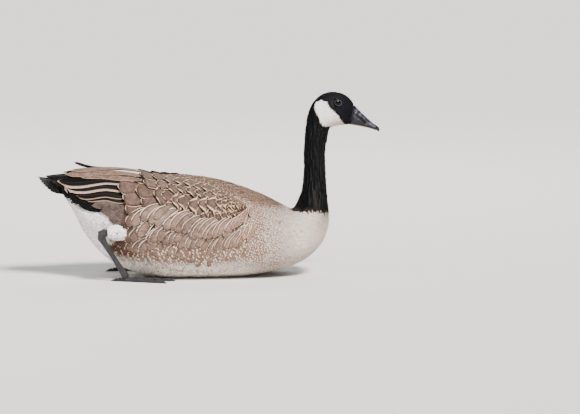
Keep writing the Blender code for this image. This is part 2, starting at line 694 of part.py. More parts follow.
def keep_largest(target):
    # A node is one closed surface, so a loose scrap or a sealed hollow goes.
    made = bmesh.new()
    made.from_mesh(target.data)
    left = set(made.faces)
    shells = []
    while left:
        start = left.pop()
        shell, waiting = {start}, [start]
        while waiting:
            for edge in waiting.pop().edges:
                if len(edge.link_faces) != 2:
                    continue
                for face in edge.link_faces:
                    if face in left:
                        left.discard(face)
                        shell.add(face)
                        waiting.append(face)
        shells.append(shell)
    largest = max(shells, key=lambda shell: sum(face.calc_area() for face in shell))
    scraps = [face for face in made.faces if face not in largest]
    if scraps:
        bmesh.ops.delete(made, geom=scraps, context="FACES")
        loose = [v for v in made.verts if not v.link_faces]
        bmesh.ops.delete(made, geom=loose, context="VERTS")
    made.to_mesh(target.data)
    made.free()
    target.data.shade_smooth()
    target.data.set_sharp_from_angle(angle=SMOOTH_ANGLE)


def body_cutter():
    return body_length("body_cutter", 0, NECK_FROM, TORSO_RINGS, TORSO_AROUND, GAP)


def torso_row(x):
    places = [-row[0] for row in SECTIONS[:12]]
    return 11 - float(np.interp(-x, places[::-1], range(12)))


def flank_vanes(side, draw):
    # Big rounded feathers in rows below the folded wing.
    def surface(x, angle, height):
        return body_point(torso_row(x), side * angle, height)

    made = []
    for first_x, last_x, first_z, last_z, count, length, width, turn in FLANK:
        for k in range(count):
            share = k / (count - 1)
            x = first_x + (last_x - first_x) * share + draw.uniform(-0.002, 0.002)
            height = first_z + (last_z - first_z) * share
            angle = flank_angle(x, height)
            root_angle = flank_angle(x + length, height) + turn
            made.append(vane(surface, FLANK_RADIUS, (x + length, root_angle), (x, angle), width,
                             ROUND_VANE, (-FLANK_SUNK, FLANK_LIFT), VANE_ROLL, FLANK_BOW, (-1, 0, 1)))
    return made


def flank_angle(x, height):
    # The angle at which the body's side passes this height.
    place = torso_row(x)
    low, high = 0.2, math.pi - 0.2
    for _ in range(24):
        middle = (low + high) / 2
        if body_point(place, middle).z > height:
            low = middle
        else:
            high = middle
    return (low + high) / 2


def build_torso():
    torso = body_length("torso", 0, NECK_FROM, TORSO_RINGS, TORSO_AROUND)
    made = flank_vanes(1, random.Random(21)) + flank_vanes(-1, random.Random(25))
    join(torso, made, "UNION", "MANIFOLD")


def build_head():
    head = body_length("head", HEAD_FROM + HEAD_PARTING, len(SECTIONS) - 1, 15, 22)
    join(head, [lid_ring("lids_left", 1), lid_ring("lids_right", -1)], "UNION")
    sockets = [eyeball("socket_left", 1, GAP), eyeball("socket_right", -1, GAP)]
    join(head, sockets, "DIFFERENCE")
    eyeball("eye_left", 1)
    eyeball("eye_right", -1)


def build_bill():
    upper = bill_length("bill_upper", UPPER_BILL, 1, 13, 13)
    turn = Matrix.Rotation(BILL_SLOPE, 3, "Y")
    pits = []
    for side in (1, -1):
        spot = (NOSTRIL[0], side * NOSTRIL[1], NOSTRIL[2])
        pits.append(ellipsoid("nostril", spot, NOSTRIL_SIZE, turn, 6, 10))
    join(upper, pits, "DIFFERENCE")
    bill_length("bill_lower", LOWER_BILL, -1, 10, 9)


def build_leg(side, word):
    thigh = limb("thigh_" + word, THIGH, side, 16)
    join(thigh, [body_cutter()], "DIFFERENCE")
    limb("shank_" + word, SHANK, side, 12)
    foot = heel("foot_" + word, side)
    pieces = [toe("toe", side, degrees, length, TOE_RADIUS) for degrees, length in (*TOES, HIND_TOE)]
    pieces.append(web("web", side))
    join(foot, pieces, "UNION")


def main():
    clear_scene()
    build_torso()
    body_length("neck", NECK_FROM + NECK_PARTING, HEAD_FROM, 16, 18)
    build_head()
    build_bill()
    for side, word in ((1, "left"), (-1, "right")):
        build_wing(side, word)
        build_leg(side, word)
    build_tail()
    paint()


main()
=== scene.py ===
# Canada goose at rest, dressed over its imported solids: skin, feathers, eyes, bill and feet.
# Metres, +Z up, +X towards the bill, so the bird's left side is +Y.

import math

import bpy
import numpy as np
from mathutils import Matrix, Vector


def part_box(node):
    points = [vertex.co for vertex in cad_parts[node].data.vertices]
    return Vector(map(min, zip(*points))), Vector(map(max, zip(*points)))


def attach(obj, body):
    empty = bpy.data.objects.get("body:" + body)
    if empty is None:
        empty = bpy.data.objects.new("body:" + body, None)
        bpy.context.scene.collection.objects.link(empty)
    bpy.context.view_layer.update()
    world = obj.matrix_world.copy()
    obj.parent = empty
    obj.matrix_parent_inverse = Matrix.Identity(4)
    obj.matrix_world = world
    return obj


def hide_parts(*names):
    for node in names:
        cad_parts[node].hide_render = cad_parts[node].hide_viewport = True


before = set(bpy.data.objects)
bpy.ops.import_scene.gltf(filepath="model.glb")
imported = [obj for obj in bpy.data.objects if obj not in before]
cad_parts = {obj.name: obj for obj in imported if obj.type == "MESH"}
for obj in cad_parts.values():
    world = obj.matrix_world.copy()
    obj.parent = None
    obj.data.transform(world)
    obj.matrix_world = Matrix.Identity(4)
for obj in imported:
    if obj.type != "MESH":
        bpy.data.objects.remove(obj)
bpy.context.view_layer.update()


# Body, neck and head as rows of: back x, back z, underside x, underside z, half width,
# low share, fullness of the underside. The rows run from the rump to the bill.
bodyRows = (
    (-0.252, 0.1455, -0.2505, 0.1385, 0.020, 0.00, 2.0),
    (-0.243, 0.1460, -0.236, 0.113, 0.038, 0.00, 2.0),
    (-0.222, 0.1480, -0.217, 0.076, 0.055, 0.02, 2.0),
    (-0.185, 0.1630, -0.184, 0.038, 0.073, 0.03, 2.1),
    (-0.140, 0.1765, -0.142, 0.013, 0.087, 0.04, 2.2),
    (-0.090, 0.1775, -0.092, 0.000, 0.096, 0.04, 2.3),
    (-0.040, 0.177, -0.040, -0.002, 0.098, 0.04, 2.3),
    (0.010, 0.170, 0.010, -0.002, 0.097, 0.05, 2.3),
    (0.055, 0.157, 0.058, 0.000, 0.093, 0.06, 2.3),
    (0.095, 0.141, 0.105, 0.006, 0.086, 0.06, 2.25),
    (0.120, 0.128, 0.143, 0.016, 0.079, 0.06, 2.2),
    (0.135, 0.120, 0.173, 0.031, 0.072, 0.06, 2.15),
    (0.142, 0.1160, 0.195, 0.052, 0.065, 0.06, 2.1),
    (0.146, 0.1145, 0.207, 0.074, 0.056, 0.05, 2.05),
    (0.1485, 0.1155, 0.2115, 0.095, 0.046, 0.03, 2.0),
    (0.151, 0.1185, 0.2105, 0.114, 0.037, 0.00, 2.0),
    (0.155, 0.126, 0.2090, 0.128, 0.030, 0.00, 2.0),
    (0.160, 0.137, 0.2075, 0.141, 0.0255, 0.00, 2.0),
    (0.164, 0.150, 0.2065, 0.154, 0.0225, 0.00, 2.0),
    (0.1665, 0.168, 0.2055, 0.170, 0.0205, 0.00, 2.0),
    (0.1675, 0.190, 0.2045, 0.190, 0.0190, 0.00, 2.0),
    (0.1677, 0.215, 0.2042, 0.212, 0.0185, 0.00, 2.0),
    (0.1690, 0.240, 0.2055, 0.229, 0.0183, 0.00, 2.0),
    (0.1712, 0.262, 0.2085, 0.242, 0.0185, 0.02, 2.0),
    (0.1735, 0.278, 0.2105, 0.2515, 0.0190, 0.05, 2.1),
    (0.1775, 0.292, 0.2125, 0.257, 0.0200, 0.08, 2.2),
    (0.1850, 0.305, 0.2155, 0.2595, 0.0212, 0.10, 2.3),
    (0.1980, 0.3165, 0.2205, 0.2610, 0.0218, 0.12, 2.3),
    (0.2145, 0.3215, 0.2270, 0.2622, 0.0213, 0.12, 2.3),
    (0.2305, 0.3197, 0.2340, 0.2630, 0.0198, 0.10, 2.3),
    (0.2420, 0.3145, 0.2395, 0.2634, 0.0178, 0.08, 2.3),
    (0.2505, 0.3065, 0.2435, 0.2634, 0.0157, 0.06, 2.3),
    (0.2565, 0.2975, 0.2470, 0.2630, 0.0140, 0.04, 2.3),
)
billPlace = len(bodyRows) - 1.0

# Folded wing as rows of: x, top, half width, middle, upper edge, lower edge (angles from straight up).
wingRows = (
    (0.070, 0.1545, 0.0925, 0.076, 0.86, 0.93),
    (0.050, 0.1645, 0.0985, 0.079, 0.74, 1.16),
    (0.010, 0.1765, 0.1030, 0.085, 0.48, 1.36),
    (-0.040, 0.1825, 0.1045, 0.089, 0.26, 1.26),
    (-0.090, 0.1855, 0.1030, 0.090, 0.12, 1.16),
    (-0.130, 0.1905, 0.0970, 0.093, 0.06, 1.24),
    (-0.160, 0.1935, 0.0900, 0.097, 0.05, 1.38),
    (-0.190, 0.1935, 0.0790, 0.105, 0.06, 1.18),
    (-0.220, 0.1920, 0.0650, 0.116, 0.08, 1.08),
    (-0.250, 0.1885, 0.0480, 0.135, 0.10, 0.98),
    (-0.275, 0.1855, 0.0300, 0.155, 0.14, 0.86),
    (-0.290, 0.1835, 0.0200, 0.165, 0.18, 0.76),
)
tail = dict(rootX=-0.204, rootZ=0.162, tipX=-0.3010, tipZ=0.1775, spreadRoot=0.027, spreadTip=0.046,
            dropRoot=0.009, dropTip=0.011, shorterOutside=0.022, vaneRise=0.0008, wingRise=0.0055)


def colour(red, green, blue):
    # a colour as a screen shows it, 0 to 255, as the linear values that shaders use
    share = np.array([red, green, blue], float) / 255
    return np.where(share <= 0.04045, share / 12.92, ((share + 0.055) / 1.055) ** 2.4)


def smooth(value, low, high):
    # 0 below low and 1 above high, with a soft slope between
    t = np.clip((value - low) / (high - low), 0, 1)
    return t * t * (3 - 2 * t)


def rowAt(rows, place):
    # the row at this place, on a smooth curve through the rows
    rows = np.asarray(rows, float)
    last = len(rows) - 1
    place = np.clip(np.asarray(place, float), 0, last)
    i = np.minimum(place.astype(int), last - 1)
    f = (place - i)[..., None]
    a, b, c, d = (rows[np.clip(i + k, 0, last)] for k in (-1, 0, 1, 2))
    return b + 0.5 * f * (c - a + f * (2 * a - 5 * b + 4 * c - d + f * (3 * (b - c) + d - a)))


def unit(vectors):
    return vectors / np.maximum(np.linalg.norm(vectors, axis=-1, keepdims=True), 1e-12)


def dot(a, b):
    return (a * b).sum(-1)


class Surface:
    # a shape as a grid of points over two values, u and v, on which feathers are laid
    def __init__(self, points, uEnds, vEnds, facing=1.0, wraps=False):
        self.uEnds, self.vEnds, self.wraps, self.facing = uEnds, vEnds, wraps, facing
        self.setPoints(points)

    def setPoints(self, points):
        self.points = points
        rows, columns = points.shape[:2]
        self.uStep = (self.uEnds[1] - self.uEnds[0]) / (rows - 1)
        self.vStep = (self.vEnds[1] - self.vEnds[0]) / (columns - 1)
        self.alongU = np.gradient(points, self.uStep, axis=0)
        self.alongV = np.gradient(points, self.vStep, axis=1)
        if self.wraps:
            seam = (points[:, 1] - points[:, -2]) / (2 * self.vStep)
            self.alongV[:, 0] = self.alongV[:, -1] = seam
        self.normals = unit(np.cross(self.alongU, self.alongV)) * self.facing

    def at(self, u, v, *grids):
        # the values of these grids at u and v
        if self.wraps:
            v = self.vEnds[0] + np.mod(v - self.vEnds[0], self.vEnds[1] - self.vEnds[0])
        rows, columns = self.points.shape[:2]
        i = np.clip((u - self.uEnds[0]) / self.uStep, 0, rows - 1.001)
        j = np.clip((v - self.vEnds[0]) / self.vStep, 0, columns - 1.001)
        a, b = i.astype(int), j.astype(int)
        f, g = (i - a)[..., None], (j - b)[..., None]
        return [(grid[a, b] * (1 - g) + grid[a, b + 1] * g) * (1 - f)
                + (grid[a + 1, b] * (1 - g) + grid[a + 1, b + 1] * g) * f for grid in grids]

    def flat(self, u, v):
        # u and v as places on a map from 0 to 1
        return np.stack([(u - self.uEnds[0]) / (self.uEnds[1] - self.uEnds[0]),
                         (v - self.vEnds[0]) / (self.vEnds[1] - self.vEnds[0])], -1)


def bodyPoint(place, angle):
    # angle 0 is the back, pi the underside, and the left side lies between
    backX, backZ, underX, underZ, halfWidth, low, full = np.moveaxis(rowAt(bodyRows, place), -1, 0)
    up, side = np.cos(angle), np.sin(angle)
    shape = 2 + (full - 2) * np.clip(0.5 - up, 0, 1)
    rise = np.sign(up) * np.abs(up) ** (2 / shape)
    out = np.sign(side) * np.abs(side) ** (2 / shape)
    x = (backX + underX) / 2 + (backX - underX) / 2 * rise
    z = (backZ + underZ) / 2 + (backZ - underZ) / 2 * rise
    return np.stack([x, out * (1 - low * up) * halfWidth, np.maximum(z, 0)], -1)


def tailAt(along):
    # half breadth of the tail, height of its middle and drop of its edges
    ends = (("spreadRoot", "spreadTip"), ("rootZ", "tipZ"), ("dropRoot", "dropTip"))
    return [tail[root] + (tail[tip] - tail[root]) * along for root, tip in ends]


def tailTop(x, y):
    # height of the tail's upper side, and far below where there is no tail
    spread, middle, drop = tailAt(np.clip((x - tail["rootX"]) / (tail["tipX"] - tail["rootX"]), 0, 1))
    share = np.abs(y) / spread
    z = middle - drop * np.minimum(share, 1) ** 2
    return np.where(share > 1.1, -1.0, z + tail["vaneRise"])


def tailPoint(x, share):
    spread, middle, drop = tailAt((x - tail["rootX"]) / (tail["tipX"] - tail["rootX"]))
    return np.stack([x, spread * share, middle - drop * share**2], -1)


def wingRowAt(x):
    return rowAt(wingRows, np.interp(-x, [-row[0] for row in wingRows], range(len(wingRows))))


def wingPoint(x, share, side):
    # share 0 is the folded wing's upper edge and 1 its lower edge; side is 1 for the left
    top, halfWidth, middle, upper, lower = np.moveaxis(wingRowAt(x)[..., 1:], -1, 0)
    angle = upper + (lower - upper) * share
    y = side * halfWidth * np.sin(angle)
    z = middle + (top - middle) * np.cos(angle)
    overTail = tailTop(x, y) + tail["wingRise"]
    return np.stack([x, y, np.where(x < tail["rootX"], np.maximum(z, overTail), z)], -1)


def gridValues(uEnds, vEnds, counts, closed=False):
    # u and v on an even grid; closed leaves out the last v, where the first one comes again
    lanes = np.linspace(*vEnds, counts[1])
    return np.meshgrid(np.linspace(*uEnds, counts[0]), lanes[:-1] if closed else lanes, indexing="ij")


def surfaceFrom(pointAt, uEnds, vEnds, counts, facing=1.0, wraps=False):
    return Surface(pointAt(*gridValues(uEnds, vEnds, counts)), uEnds, vEnds, facing, wraps)


def gridFaces(index, under=False):
    # quads over a grid of point numbers
    a, b, c, d = index[:-1, :-1], index[:-1, 1:], index[1:, 1:], index[1:, :-1]
    return np.stack([a, d, c, b] if under else [a, b, c, d], -1).reshape(-1, 4)


def ringFaces(rows, around, flip=False):
    # quads round a tube or a ring, and the numbers of its points
    index = np.arange(rows * around).reshape(rows, around)
    after = np.roll(index, -1, 1)
    faces = np.stack([index[:-1], after[:-1], after[1:], index[1:]], -1).reshape(-1, 4)
    return (faces[:, ::-1] if flip else faces), index


def meshPiece(name, points, faces, material, bake):
    # a mesh of quads from arrays of points, of corner numbers and of places on the map
    mesh = bpy.data.meshes.new(name)
    mesh.vertices.add(len(points))
    mesh.vertices.foreach_set("co", np.asarray(points, np.float32).ravel())
    mesh.loops.add(faces.size)
    mesh.loops.foreach_set("vertex_index", faces.ravel().astype(np.int32))
    mesh.polygons.add(len(faces))
    mesh.polygons.foreach_set("loop_start", np.arange(0, faces.size, faces.shape[1], dtype=np.int32))
    mesh.update(calc_edges=True)
    mesh.shade_smooth()
    mesh.materials.append(material)
    layer = mesh.uv_layers.new(name="OFBake")
    layer.data.foreach_set("uv", bake[faces.ravel()].astype(np.float32).ravel())
    made = bpy.data.objects.new(name, mesh)
    bpy.context.scene.collection.objects.link(made)
    return made


def giveValues(piece, name, kind, values):
    # one value for each point, which the material reads by name
    held = piece.data.attributes.new(name, kind, "POINT")
    key = {"FLOAT": "value", "FLOAT_VECTOR": "vector", "FLOAT_COLOR": "color"}[kind]
    if kind == "FLOAT_COLOR":
        values = np.concatenate([values, np.ones((len(values), 1))], -1)
    held.data.foreach_set(key, np.asarray(values, np.float32).ravel())


def place(piece, slot, *nodes):
    # the piece rides on the body and stands for these nodes
    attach(piece, "root")
    if nodes:
        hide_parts(*nodes)


# Shader nodes

def addNode(tree, kind, inputs=None, **settings):
    made = tree.nodes.new("ShaderNode" + kind)
    for name, value in settings.items():
        setattr(made, name, value)
    for key, value in (inputs or {}).items():
        if isinstance(value, bpy.types.NodeSocket):
            tree.links.new(value, made.inputs[key])
        else:
            made.inputs[key].default_value = value
    return made


def sums(tree, operation, *values):
    return addNode(tree, "Math", dict(enumerate(values)), operation=operation).outputs[0]


def slope(tree, value, low, high, start=0.0, end=1.0):
    inputs = {"Value": value, "From Min": low, "From Max": high, "To Min": start, "To Max": end}
    return addNode(tree, "MapRange", inputs, interpolation_type="SMOOTHSTEP").outputs[0]


def blendColours(tree, share, first, second, how="MIX"):
    first = first if isinstance(first, bpy.types.NodeSocket) else (*first, 1)
    second = second if isinstance(second, bpy.types.NodeSocket) else (*second, 1)
    made = addNode(tree, "Mix", {0: share, 6: first, 7: second}, data_type="RGBA", blend_type=how)
    return made.outputs[2]


def shadeBy(tree, base, value):
    # the colour made darker or lighter by a value
    grey = addNode(tree, "CombineXYZ", {0: value, 1: value, 2: value}).outputs[0]
    return blendColours(tree, 1.0, base, grey, "MULTIPLY")


def noiseOf(tree, where, scale, detail=2.0, rough=0.5):
    inputs = {"Vector": where, "Scale": scale, "Detail": detail, "Roughness": rough}
    return addNode(tree, "TexNoise", inputs).outputs["Fac"]


def objectPlace(tree):
    return addNode(tree, "TexCoord").outputs["Object"]


def readValue(tree, name, output="Vector"):
    return addNode(tree, "Attribute", attribute_name=name).outputs[output]


def newMaterial(name, look):
    made = bpy.data.materials.new(name)
    made.use_nodes = True
    tree = made.node_tree
    shader = tree.nodes["Principled BSDF"]
    names = {"roughness": "Roughness", "gloss": "Specular IOR Level",
             "coat": "Coat Weight", "coatRoughness": "Coat Roughness"}
    for key, socket in names.items():
        if key in look:
            shader.inputs[socket].default_value = look[key]
    return made, tree, shader


def addBump(tree, shader, height, strength, distance):
    bump = addNode(tree, "Bump", {"Height": height, "Strength": strength, "Distance": distance})
    tree.links.new(bump.outputs[0], shader.inputs["Normal"])


# what a feather's look holds where its own dictionary doesn't say
plainLook = dict(ragged=0.5, band=0.0, bandReach=2.0, bandColour=(0, 0, 0), shaft=0.0)
vaneGrain = dict(barbSlant=0.9, acrossBarbs=0.12, chance=37.0, cloudScale=110.0, contrast=(0.32, 0.68),
                 fringeEdge=(0.55, 1.2), fringeStreaks=(0.25, 0.7, 0.86, 1.04), shaftHalf=(0.00018, 0.00055),
                 bumpDepth=0.0004)


def featherMaterial(name, look):
    # barbs that run out from the shaft, a fringe round the edge and a darker band inside it
    look = {**plainLook, **look}
    made, tree, shader = newMaterial(name, look)
    lies = addNode(tree, "SeparateXYZ", {0: readValue(tree, "featherPlace")}).outputs
    edges = addNode(tree, "SeparateXYZ", {0: readValue(tree, "featherEdge")}).outputs
    offShaft = sums(tree, "ABSOLUTE", lies[0])
    barb = sums(tree, "SUBTRACT", lies[1], sums(tree, "MULTIPLY", offShaft, vaneGrain["barbSlant"]))
    chance = sums(tree, "MULTIPLY", lies[2], vaneGrain["chance"])  # so that no two vanes are alike
    along = addNode(tree, "CombineXYZ", {
        0: sums(tree, "MULTIPLY", barb, look["barbs"]),
        1: sums(tree, "MULTIPLY", lies[0], look["barbs"] * vaneGrain["acrossBarbs"]), 2: chance})
    streak = slope(tree, noiseOf(tree, along.outputs[0], 1.0, 3.0, 0.6), *vaneGrain["contrast"])
    wide = addNode(tree, "CombineXYZ", {0: lies[0], 1: lies[1], 2: chance})
    cloud = slope(tree, noiseOf(tree, wide.outputs[0], vaneGrain["cloudScale"]), *vaneGrain["contrast"])
    # how far in from the edge, counted in breadths of the fringe
    ragged = sums(tree, "MULTIPLY", edges[2], look["ragged"] * 0.5)
    inward = sums(tree, "MULTIPLY_ADD", sums(tree, "SUBTRACT", streak, 0.5), ragged,
                  sums(tree, "MINIMUM", edges[0], edges[1]))
    inward = sums(tree, "DIVIDE", inward, sums(tree, "MAXIMUM", edges[2], 1e-5))
    inFringe = slope(tree, inward, *vaneGrain["fringeEdge"], 1, 0)
    inBand = slope(tree, inward, 1.0, look["bandReach"], look["band"], 0)
    base = blendColours(tree, inBand, readValue(tree, "baseColour", "Color"), look["bandColour"])
    shade = sums(tree, "ADD", sums(tree, "MULTIPLY", streak, look["streaks"]),
                 sums(tree, "MULTIPLY", cloud, look["clouds"]))
    base = shadeBy(tree, base, sums(tree, "ADD", shade, 1 - 0.5 * (look["streaks"] + look["clouds"])))
    if look["shaft"]:
        onShaft = slope(tree, offShaft, *vaneGrain["shaftHalf"], look["shaft"], 0)
        base = blendColours(tree, onShaft, base, look["shaftColour"])
    fringe = readValue(tree, "fringeColour", "Color")
    fringe = shadeBy(tree, fringe, slope(tree, streak, *vaneGrain["fringeStreaks"]))
    tree.links.new(blendColours(tree, inFringe, base, fringe), shader.inputs["Base Color"])
    addBump(tree, shader, streak, look["bump"], vaneGrain["bumpDepth"])
    return made


def coatMaterial(name, look):
    # the skin under the feathers, in the colours of what grows on it
    made, tree, shader = newMaterial(name, look)
    fine = noiseOf(tree, objectPlace(tree), look["grain"], 3.0, 0.6)
    shade = slope(tree, fine, 0.2, 0.8, 1 - look["streaks"], 1 + look["streaks"])
    base = shadeBy(tree, readValue(tree, "baseColour", "Color"), shade)
    tree.links.new(base, shader.inputs["Base Color"])
    addBump(tree, shader, fine, look["bump"], 0.001)
    return made


# Feathers

# outlines: share of the length, share of the width
roundTip = ((0.0, 0.45), (0.3, 0.85), (0.62, 1.0), (0.86, 0.80), (1.0, 0.34))
squareTip = ((0.0, 0.45), (0.25, 0.80), (0.55, 0.97), (0.78, 1.0), (0.90, 0.93), (0.96, 0.74), (1.0, 0.40))
longTip = ((0.0, 0.40), (0.2, 0.66), (0.5, 0.92), (0.75, 1.0), (0.88, 0.92), (0.96, 0.66), (1.0, 0.22))
pointTip = ((0.0, 0.5), (0.35, 1.0), (0.7, 0.74), (1.0, 0.10))
floorGap = 0.0004  # no feather comes nearer to the floor
scattering = dict(lanes=721, acrossRow=0.12, alongRow=0.10)  # the last two are shares of the spacing


def outlineAt(outline, count):
    # the outline of a feather at places that draw closer together near the tip
    share = 1 - (1 - np.linspace(0, 1, count)) ** 1.35
    table = np.array(outline)
    return share, np.interp(share, table[:, 0], table[:, 1])


def stepsFor(alongU, alongV, *ways):
    # what a metre along each of these ways changes in u and v
    uu, uv, vv = dot(alongU, alongU), dot(alongU, alongV), dot(alongV, alongV)
    spread = np.maximum(uu * vv - uv * uv, 1e-12)
    return [np.stack([(dot(t, alongU) * vv - dot(t, alongV) * uv) / spread,
                      (dot(t, alongV) * uu - dot(t, alongU) * uv) / spread], -1) for t in ways]


def shaftLines(surface, f, share):
    # u and v along the shaft of each feather, from its root to its tip
    if "path" in f:
        s = share[None, :, None]
        start, middle, end = (f["path"][:, k][:, None] for k in range(3))
        line = start + (end - start) * s + (4 * middle - 2 * start - 2 * end) * s * (1 - s)
        return line[..., 0], line[..., 1]
    u, v = [f["u"]], [f["v"]]
    down = np.where(surface.at(f["u"], f["v"], surface.points)[0][:, 1] >= 0, -1.0, 1.0)[:, None]
    for k in range(1, len(share)):
        normal, alongU, alongV = surface.at(u[-1], v[-1], surface.normals, surface.alongU, surface.alongV)
        way = unit(f["way"] - normal * dot(f["way"], normal)[:, None])
        turn = (f["bend"] * share[k - 1])[:, None]
        way = way * np.cos(turn) + np.cross(normal, way) * down * np.sin(turn)
        step = stepsFor(alongU, alongV, way)[0] * ((share[k] - share[k - 1]) * f["length"])[:, None]
        u.append(u[-1] + step[:, 0])
        v.append(v[-1] + step[:, 1])
    return np.stack(u, 1), np.stack(v, 1)


def vanePoints(surface, f, share, wide, across, thick):
    # upper and lower points of each vane, its half breadth and how far each point lies from the shaft
    u, v = shaftLines(surface, f, share)
    shaft, normal, alongU, alongV = surface.at(
        u, v, surface.points, surface.normals, surface.alongU, surface.alongV)
    way = np.gradient(shaft, axis=1)
    way = unit(way - normal * dot(way, normal)[..., None])
    down = np.where(shaft[:, 0, 1] >= 0, -1.0, 1.0)
    aside = np.cross(normal, way) * down[:, None, None]
    along, sideways = stepsFor(alongU, alongV, way, aside)
    half = f["width"][:, None] / 2 * wide[None, :] * f["fray"][:, :len(share)]
    reach = across[None, None, :] * half[:, :, None]
    back = f["arc"][:, None, None] * f["width"][:, None, None] * (across**2)[None, None, :]
    back = back * smooth(share, 0.3, 1.0)[None, :, None]
    us = u[:, :, None] + reach * sideways[..., None, 0] - back * along[..., None, 0]
    vs = v[:, :, None] + reach * sideways[..., None, 1] - back * along[..., None, 1]
    points, normals = surface.at(us, vs, surface.points, surface.normals)
    rise = f["sunk"][:, None] + (f["lift"] - f["sunk"])[:, None] * share[None, :] ** f["bow"][:, None]
    rise = rise[:, :, None] + f["roll"][:, None, None] * reach
    rise = rise + f["arch"][:, None, None] * half[:, :, None] * (1 - across**2)[None, None, :]
    top = points + normals * rise[..., None]
    low = top - normals * thick
    top[..., 2] = np.maximum(top[..., 2], floorGap + thick)
    low[..., 2] = np.maximum(low[..., 2], floorGap)
    return top, low, half, reach, down


def layFeathers(name, surface, feathers, outline, rows, columns, material, slot, nodes=(), patch=0.003,
                thick=0.00022):
    # closed thin vanes laid on a surface; feathers is a dictionary of one array for each property
    f = feathers
    n = len(f["u"])
    share, wide = outlineAt(outline, rows)
    across = np.linspace(-1, 1, columns)
    top, low, half, reach, down = vanePoints(surface, f, share, wide, across, thick)
    inner = low[:, 1:-1, 1:-1]
    every = rows * columns + (rows - 2) * (columns - 2)
    points = np.concatenate([top.reshape(n, -1, 3), inner.reshape(n, -1, 3)], 1).reshape(-1, 3)
    above = np.arange(rows * columns).reshape(rows, columns)
    below = above.copy()
    below[1:-1, 1:-1] = np.arange(rows * columns, every).reshape(rows - 2, columns - 2)
    template = np.concatenate([gridFaces(above), gridFaces(below, True)])
    faces = template[None] + (np.arange(n) * every)[:, None, None]
    faces[down > 0] = faces[down > 0][:, :, ::-1]
    faces = faces.reshape(-1, 4)

    everywhere = np.ones((n, rows, columns))

    def spreadOut(values, extra=()):
        # values for each upper point, and again for the inner points below
        values = values * everywhere.reshape(n, rows, columns, *(1 for each in extra))
        return np.concatenate([values.reshape(n, rows * columns, *extra),
                               values[:, 1:-1, 1:-1].reshape(n, -1, *extra)], 1).reshape(-1, *extra)

    length, lowerOnly = f["length"][:, None, None], f["lowerOnly"][:, None, None] > 0
    edge = half[:, :, None] * np.where(lowerOnly, 1 - across, 1 - np.abs(across))
    tip = (1 - share)[None, :, None] * length * np.where(lowerOnly, 20, 1)
    centre = surface.flat(f["u"], f["v"])[:, None, None, :]
    spot = np.stack([across[None, None, :] * everywhere, (share - 0.5)[None, :, None] * 2 * everywhere], -1)
    piece = meshPiece(name, points, faces, material,
                      spreadOut(np.clip(centre, 0.02, 0.98) + spot * patch / 2, (2,)))
    held = dict(featherPlace=(reach, share[None, :, None] * length, f["tone"][:, None, None]),
                featherEdge=(edge, tip, f["fringe"][:, None, None]))
    for key, values in held.items():
        giveValues(piece, key, "FLOAT_VECTOR", np.stack([spreadOut(value) for value in values], -1))
    for key in ("baseColour", "fringeColour"):
        giveValues(piece, key, "FLOAT_COLOR", np.repeat(f[key], every, 0))
    piece.data.set_sharp_from_angle(angle=math.radians(100))
    place(piece, slot, *nodes)
    print(f"{name}: {n} feathers, {len(faces) * 2} triangles")


def feathersFrom(u, v, way, draw, **properties):
    # fills in what is left out, one array of each property
    n = len(u)
    made = dict(u=u, v=v, bend=0.0, length=0.01, width=0.004, sunk=-0.002, lift=0.0005, bow=1.2,
                roll=0.0, arch=0.08, arc=0.16, fringe=0.0, lowerOnly=0.0, frayed=0.04)
    made.update(properties)
    for key, value in made.items():
        if key not in ("path", "baseColour", "fringeColour", "frayed"):
            made[key] = np.broadcast_to(np.asarray(value, float), (n,)).astype(float)
    made["way"] = way
    made["fray"] = 1 + draw.normal(0, 1, (n, 40)) * made.pop("frayed")
    made["tone"] = draw.random(n)
    for key in ("baseColour", "fringeColour"):
        made[key] = np.broadcast_to(made[key], (n, 3))
    return made


def chosenFrom(feathers, chosen):
    # only these feathers
    return {key: value[chosen] for key, value in feathers.items()}


def scatter(surface, uEnds, vEnds, spacing, draw, lean=None):
    # places in rows across u, where spacing gives the distance at u and v; lean slants the rows
    us, vs = [], []
    u, odd = uEnds[0], 0
    lanes = np.linspace(*vEnds, scattering["lanes"])
    while u < uEnds[1]:
        here = np.full_like(lanes, u)
        alongU, alongV = surface.at(here, lanes, surface.alongU, surface.alongV)
        gap = spacing(here, lanes)
        uScale, vScale = np.linalg.norm(alongU, axis=-1), np.linalg.norm(alongV, axis=-1)
        step = (gap[:, 0] / np.maximum(uScale, 1e-5)).min()
        crowd = np.cumsum(vScale / gap[:, 1]) * (lanes[1] - lanes[0])
        count = int(crowd[-1])
        if count > 0:
            at = (np.arange(count) + 0.5 * odd + 0.25) / count * crowd[-1]
            v = np.interp(at, crowd, lanes)
            keep = step * np.interp(v, lanes, uScale / gap[:, 0])
            chosen = draw.random(count) < keep
            aside = draw.normal(0, scattering["acrossRow"], count)
            v = v + aside * np.interp(v, lanes, gap[:, 1] / vScale)
            jitter = draw.normal(0, scattering["alongRow"], count) * step
            slant = np.interp(u, *lean) * np.cos(v) if lean else 0.0
            us.append((u + slant + jitter)[chosen])
            vs.append(v[chosen])
        u += step
        odd = 1 - odd
    return np.concatenate(us), np.concatenate(vs)


def evenGap(along, across):
    # the same spacing all over
    return lambda u, v: np.stack([np.full_like(u, along), np.full_like(u, across)], -1)


def mixed(share, first, second):
    return first + (second - first) * np.asarray(share)[..., None]


def painted(colours, share, base, edge):
    # base and fringe colours, with a share of another pair laid over them
    return mixed(share, colours[0], base), mixed(share, colours[1], edge)


# Markings

